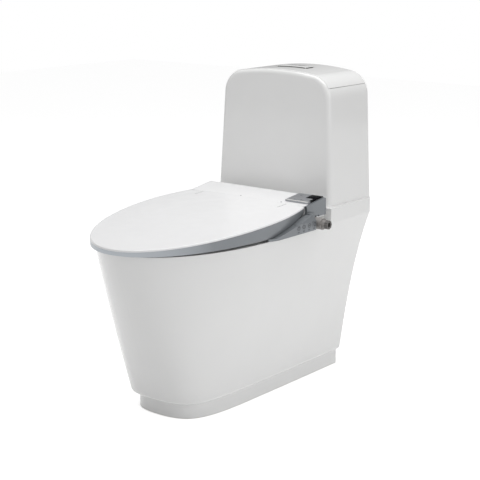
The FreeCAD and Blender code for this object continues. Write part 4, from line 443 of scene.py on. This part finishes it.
def settle(node, start, along, side):
    """A frame on a node's surface, met from start (mm) in the direction along.

    Its Z axis leaves the surface and its X axis follows side.
    """
    mesh = NODES[node].data
    tree = BVHTree.FromPolygons(
        [vertex.co for vertex in mesh.vertices], [face.vertices for face in mesh.polygons]
    )
    place, normal = tree.ray_cast(Vector(start) * MM, Vector(along))[:2]
    if place is None:
        raise RuntimeError(f"nothing of {node} lies beyond {start}")
    if normal.dot(Vector(along)) > 0:
        normal = -normal
    across = (Vector(side) - normal * normal.dot(Vector(side))).normalized()
    seat = Matrix((across, normal.cross(across), normal)).transposed().to_4x4()
    seat.translation = place
    return seat


def on_top(node, x, y):
    return settle(node, (x, y, 1000), (0, 0, -1), (1, 0, 0))


def on_right(node, y, z):
    return settle(node, (400, y, z), (-1, 0, 0), (0, 1, 0))


def shift(x, y, z=0.0):
    return Matrix.Translation(Vector((x, y, z)) * MM)


def bar(bm, seat, long, wide, deep):
    """A block, in mm, standing on its seat and centred on it."""
    size = Matrix.Diagonal(Vector((long, wide, deep, 1000)) * MM)
    bmesh.ops.create_cube(bm, size=1, matrix=seat @ shift(0, 0, deep / 2) @ size)


def disc(bm, seat, radius, deep, segments=24):
    bmesh.ops.create_cone(
        bm, cap_ends=True, segments=segments, radius1=radius * MM, radius2=radius * MM,
        depth=deep * MM, matrix=seat @ shift(0, 0, deep / 2),
    )


def hoop(bm, seat, radius, wide, deep, segments=48):
    """A flat ring of square section round the seat's Z axis; gives back its vertices."""
    low, high = radius - wide / 2, radius + wide / 2
    corners = [
        bm.verts.new(Vector((r, 0, z)) * MM)
        for r, z in ((low, 0), (high, 0), (high, deep), (low, deep))
    ]
    edges = [bm.edges.new((corners[i], corners[(i + 1) % 4])) for i in range(4)]
    before = set(bm.verts) - set(corners)
    bmesh.ops.spin(
        bm, geom=corners + edges, cent=(0, 0, 0), axis=(0, 0, 1), angle=math.tau,
        steps=segments, use_merge=True,
    )
    made = [vertex for vertex in bm.verts if vertex not in before]
    bmesh.ops.transform(bm, matrix=seat, verts=made)
    return made


def squared(value, power=0.3):
    """Push a sine or cosine out towards the sides of a rounded rectangle."""
    return math.copysign(abs(value) ** power, value)


def round_off(bm, edges, width):
    """Round the given edges by a width in mm."""
    bmesh.ops.bevel(
        bm, geom=edges, offset=width * MM, segments=2, profile=0.5, affect="EDGES", material=-1,
    )


# ---- operators -------------------------------------------------------------------------------

class TOILET_OT_finish_nodes(bpy.types.Operator):
    """Give every CAD node its finish"""
    bl_idname = "toilet.finish_nodes"
    bl_label = "Finish the Solids"

    def execute(self, context):
        slots = node_slots(context.scene.toilet_colours)
        for name, node in NODES.items():
            node.data.materials.clear()
            node.data.materials.append(slots[name])
        return {"FINISHED"}


class TOILET_OT_flush_frame(bpy.types.Operator):
    """Set a dark raised frame round the pair of flush buttons; its dark colour is painted shade for
    the shadow line along the buttons' edges
    """
    bl_idname = "toilet.flush_frame"
    bl_label = "Flush Button Frame"

    def execute(self, context):
        colours = context.scene.toilet_colours
        first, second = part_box("flush_button_full"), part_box("flush_button_half")
        low = Vector(map(min, first[0], second[0])) / MM
        high = Vector(map(max, first[1], second[1])) / MM
        middle = (low + high) / 2
        gap, wall, proud, sunk, ease = 0.9, 1.5, 1.5, 0.5, 0.35
        steps, crown_radius = 160, 720
        half_x = (high.x - low.x) / 2 + gap
        half_y = (high.y - low.y) / 2 + gap
        crown = on_top("tank_lid", 0, high.y + 8).translation.z / MM
        bm = bmesh.new()
        made = hoop(bm, Matrix.Identity(4), 1.0, 1.0, 1.0, steps)
        for vertex in made:
            angle = math.atan2(vertex.co.y, vertex.co.x)
            outer = vertex.co.xy.length > 1.0 * MM
            upper = vertex.co.z > 0.5 * MM
            x = squared(math.cos(angle)) * (half_x + (wall if outer else 0))
            y = squared(math.sin(angle)) * (half_y + (wall if outer else 0))
            seat = crown - x * x / (2 * crown_radius)
            z = seat + (proud - (ease if outer else 0) if upper else -sunk)
            vertex.co = Vector((x, middle.y + y, z)) * MM
        # painted shade: steel darkened to a third stands in for the shade at the buttons' edges
        finish = satin_metal("Frame painted shade", scaled(colours.steel, 0.35), (40, 1, 40), 0.22)
        new_piece("flush_frame", bm, finish, "cistern_lid")
        return {"FINISHED"}


class TOILET_OT_key_marks(bpy.types.Operator):
    """Print the arm's buttons and set two dark sensors above the filter knob"""
    bl_idname = "toilet.key_marks"
    bl_label = "Arm Marks"

    def execute(self, context):
        scene = context.scene
        deep = scene.toilet_sizes.mark_depth / MM
        ink = printed_mark(scene.toilet_colours.mark)
        ring_radius, ring_width = 4.1, 1.5
        for number in range(4):
            node = f"arm_button_{number + 1}"
            low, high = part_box(node)
            y, z = ((low + high) / 2).yz / MM
            seat = on_right(node, y, z)
            bm = bmesh.new()
            hoop(bm, seat, ring_radius, ring_width, deep)
            for x, up, long, wide in self.glyph(number):
                bar(bm, seat @ shift(x, up), long, wide, deep)
            new_piece(f"key_print_{number + 1}", bm, ink, node)
        bm = bmesh.new()
        sensor_height, sensor_radius = 412.5, 1.9
        for y in (72, 83):
            disc(bm, on_right("side_panel", y, sensor_height), sensor_radius, 0.6)
        new_piece("cheek_sensors", bm, ink, "toilet")
        return {"FINISHED"}

    def glyph(self, number):
        """Bars (across, up, long, wide) of four plain signs: spray, fan, stop and wave."""
        signs = (
            ((0, -1.4, 3.6, 0.8), (-1.2, 1.0, 0.7, 2.6), (0, 1.4, 0.7, 2.6), (1.2, 1.0, 0.7, 2.6)),
            ((0, 0, 4.4, 0.8), (0, 0, 0.8, 4.4), (0, 0, 1.8, 1.8)),
            ((0, 0, 3.2, 3.2),),
            ((0, 1.3, 3.6, 0.7), (0, 0, 3.6, 0.7), (0, -1.3, 3.6, 0.7)),
        )
        return signs[number]


class TOILET_OT_plate_marks(bpy.types.Operator):
    """Print the display plate's faint signs and set its black pane and a pale strip along its front
    edge as a painted highlight
    """
    bl_idname = "toilet.plate_marks"
    bl_label = "Display Plate Details"

    def execute(self, context):
        scene = context.scene
        deep = scene.toilet_sizes.mark_depth / MM
        faint = printed_mark(scaled(scene.toilet_colours.mark, 2.2))
        bm = bmesh.new()
        for x, y in ((117, 91), (121, 59), (138.5, 61)):
            seat = on_top("display_plate", x, y)
            hoop(bm, seat, 2.3, 0.5, deep, 32)
            bar(bm, seat, 3.0, 0.7, deep)
            bar(bm, seat @ shift(4.6, 0), 3.0, 0.8, deep)
        new_piece("plate_signs", bm, faint, "toilet")
        low, high = (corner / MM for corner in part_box("display_plate"))
        self.glass(scene, high.y)
        # painted highlight: a pale, non-metal strip near the plate's front edge stands in for the
        # light the edge catches
        bright = silver_paint("Painted highlight rim", scaled(scene.toilet_colours.steel, 1.6), 0.0, 0.3)
        bm = bmesh.new()
        inset, width, thick, sunk, short = 1.6, 3.0, 0.75, 0.35, 3
        seat = on_top("display_plate", (low.x + high.x) / 2, low.y + inset)
        bar(bm, seat @ shift(0, -0.4, -sunk), high.x - low.x - short, width, thick)
        round_off(bm, bm.edges[:], 0.3)
        new_piece("plate_highlight_strip", bm, bright, "toilet")
        return {"FINISHED"}

    def glass(self, scene, plate_rear):
        """A thin black pane over the window at the rear right end of the plate."""
        window = [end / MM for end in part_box("display_window")]
        long, wide, deep, sunk = window[1].x - window[0].x, 26.0, 0.5, 0.2
        beside, ahead, rearward = 8, 30, 12
        slope = on_top("display_plate", window[0].x - beside, plate_rear - ahead)
        bm = bmesh.new()
        bar(bm, slope @ shift(beside + long / 2, rearward, -sunk), long, wide, deep)
        rim = [edge for edge in bm.edges if edge.calc_length() > deep * MM * 2]
        round_off(bm, rim, 0.12)
        black = smoked_window(scene.toilet_colours.window)
        new_piece("window_glass", bm, black, "toilet")


class TOILET_OT_lid_details(bpy.types.Operator):
    """Set dark strips in the lid's slits as painted shade, and set the housing's two dots"""
    bl_idname = "toilet.lid_details"
    bl_label = "Lid and Housing Details"

    def execute(self, context):
        colours = context.scene.toilet_colours
        # painted shade: a near-black strip sunk in each slit stands in for the shade inside it
        dark = soft_rubber("Slit painted shade", scaled(colours.rubber, 0.16))
        slit, rear, length, width, sunk, deep, beside = 122, 27, 34, 1.8, 0.1, 1.2, 3
        bm = bmesh.new()
        for side in (-1, 1):
            seat = on_top("lid_shell", side * (slit + beside), rear - length / 2)
            seat = shift(-beside * side, 0) @ seat
            bar(bm, seat @ shift(0, 0, -sunk - deep), width, length - 0.4, deep)
        new_piece("slit_shade_strips", bm, dark, "lid")
        bm = bmesh.new()
        disc(bm, on_top("housing_cover", -21.6, 42), 1.6, 0.15)
        disc(bm, on_top("housing_cover", 97, 41), 1.9, 0.2)
        ink = printed_mark(scaled(colours.mark, 1.6))
        new_piece("housing_dots", bm, ink, "toilet")
        return {"FINISHED"}


class TOILET_OT_fitting_threads(bpy.types.Operator):
    """Set the thread's rings on the water inlet and the ribs on the cable gland"""
    bl_idname = "toilet.fitting_threads"
    bl_label = "Threads and Ribs"

    def execute(self, context):
        colours = context.scene.toilet_colours
        steel = satin_metal("Thread steel", colours.steel, (60, 1, 60), 0.3)
        dark = grained_plastic("Gland plastic", colours.dark_works, 0.5, 900)
        self.ridges("inlet_thread", "water_inlet", steel, "steel", 10.35, 1.8, 7)
        self.ridges("gland_ribs", "cable_gland", dark, "works_grey", None, 1.6, 4)
        return {"FINISHED"}

    def ridges(self, name, node, material, slot, radius, pitch, count):
        """Rings round a fitting that points to the left, from its open end inwards."""
        low, high = (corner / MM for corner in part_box(node))
        middle = (low + high) / 2
        radius = radius or (high.z - low.z) / 2
        first, width = 1.2, 0.8
        turn = Matrix.Rotation(math.pi / 2, 4, "Y")
        bm = bmesh.new()
        for number in range(count):
            seat = shift(low.x + first + number * pitch, middle.y, middle.z)
            hoop(bm, seat @ turn, radius, width, width)
        new_piece(name, bm, material, "toilet")


class TOILET_OT_stage(bpy.types.Operator):
    """Set the floor, the soft lamps, the pale surroundings and the camera"""
    bl_idname = "toilet.stage"
    bl_label = "Stage, Lamps and Camera"

    def execute(self, context):
        scene = context.scene
        sizes = scene.toilet_sizes
        self.floor(scene, sizes)
        self.surroundings(scene, sizes)
        self.lamps(scene, sizes)
        self.camera(scene, sizes)
        scene.view_settings.view_transform = "Standard"
        return {"FINISHED"}

    def floor(self, scene, sizes):
        mesh = bpy.data.meshes.new("Floor")
        bm = bmesh.new()
        bmesh.ops.create_grid(bm, x_segments=4, y_segments=4, size=6)
        bm.to_mesh(mesh)
        bm.free()
        floor = bpy.data.objects.new("Floor", mesh)
        scene.collection.objects.link(floor)
        finish = Finish("Pale floor")
        colour = tuple(scene.toilet_colours.floor)
        dull = finish.ramp(finish.cloud(3, 2), (0.3, 0.5), (0.8, 0.6))
        shader = finish.node(
            "ShaderNodeBsdfPrincipled", {},
            {"Base Color": colour, "Roughness": dull, "Specular IOR Level": 0.1},
        )
        glow = finish.node(
            "ShaderNodeEmission", {}, {"Color": (1, 1, 1), "Strength": sizes.floor_glow}
        )
        bright = finish.node("ShaderNodeAddShader", {}, (shader, glow))
        seen = finish.node("ShaderNodeLightPath", {}, {}, "Is Camera Ray")
        mirrored = finish.node("ShaderNodeLightPath", {}, {}, "Is Glossy Ray")
        both = finish.node("ShaderNodeMixShader", {}, (seen + mirrored, shader, bright))
        finish.tree.links.new(both.socket, finish.output.inputs[0])
        mesh.materials.append(finish.material)

    def surroundings(self, scene, sizes):
        world = bpy.data.worlds.new("Studio")
        scene.world = world
        world.use_nodes = True
        tree = world.node_tree
        tree.nodes.clear()
        path = tree.nodes.new("ShaderNodeLightPath")
        soft = tree.nodes.new("ShaderNodeBackground")
        soft.inputs["Color"].default_value = (1, 1, 1, 1)
        soft.inputs["Strength"].default_value = sizes.sky_light
        white = tree.nodes.new("ShaderNodeBackground")
        white.inputs["Strength"].default_value = 1.0
        white.inputs["Color"].default_value = (1, 1, 1, 1)
        mix = tree.nodes.new("ShaderNodeMixShader")
        output = tree.nodes.new("ShaderNodeOutputWorld")
        tree.links.new(path.outputs["Is Camera Ray"], mix.inputs[0])
        tree.links.new(soft.outputs[0], mix.inputs[1])
        tree.links.new(white.outputs[0], mix.inputs[2])
        tree.links.new(mix.outputs[0], output.inputs[0])

    def lamps(self, scene, sizes):
        plan = (
            ("Top lamp", (0.1, -0.1, 2.4), (0, 0, 0.3), 2.2, sizes.key_light),
            ("Side lamp", (2.6, -0.3, 1.2), (0, 0, 0.35), 1.8, sizes.side_light),
        )
        for name, place, target, size, power in plan:
            data = bpy.data.lights.new(name, "AREA")
            data.shape = "DISK"
            data.size = size
            data.energy = power
            lamp = bpy.data.objects.new(name, data)
            lamp.location = place
            aim = Vector(target) - Vector(place)
            lamp.rotation_euler = aim.to_track_quat("-Z", "Y").to_euler()
            scene.collection.objects.link(lamp)

    def camera(self, scene, sizes):
        data = bpy.data.cameras.new("Camera")
        data.lens = sizes.lens
        data.sensor_width = 36
        camera = bpy.data.objects.new("Camera", data)
        camera.location = (1.8431, -2.28035, 1.02749)
        aim = Vector((0, 0.012, 0.343)) - camera.location
        camera.rotation_euler = aim.to_track_quat("-Z", "Y").to_euler()
        scene.collection.objects.link(camera)
        scene.camera = camera


OPERATORS = (
    TOILET_OT_finish_nodes, TOILET_OT_flush_frame, TOILET_OT_key_marks, TOILET_OT_plate_marks,
    TOILET_OT_lid_details, TOILET_OT_fitting_threads, TOILET_OT_stage,
)


class TOILET_PT_panel(bpy.types.Panel):
    """Lists the operators of the toilet"""
    bl_idname = "TOILET_PT_panel"
    bl_label = "Toilet"
    bl_space_type = "VIEW_3D"
    bl_region_type = "UI"
    bl_category = "Toilet"

    def draw(self, context):
        for operator in OPERATORS:
            self.layout.operator(operator.bl_idname)
        for group in (context.scene.toilet_colours, context.scene.toilet_sizes):
            for name in group.__annotations__:
                self.layout.prop(group, name)


CLASSES = (ToiletColours, ToiletSizes, *OPERATORS, TOILET_PT_panel)


def register():
    for made in CLASSES:
        bpy.utils.register_class(made)
    bpy.types.Scene.toilet_colours = PointerProperty(type=ToiletColours)
    bpy.types.Scene.toilet_sizes = PointerProperty(type=ToiletSizes)


def unregister():
    del bpy.types.Scene.toilet_sizes
    del bpy.types.Scene.toilet_colours
    for made in reversed(CLASSES):
        bpy.utils.unregister_class(made)


def run(operator):
    """Call an operator by its bl_idname."""
    group, name = operator.bl_idname.split(".")
    getattr(getattr(bpy.ops, group), name)()


def main():
    register()
    for operator in OPERATORS:
        run(operator)


if __name__ == "__main__":
    main()
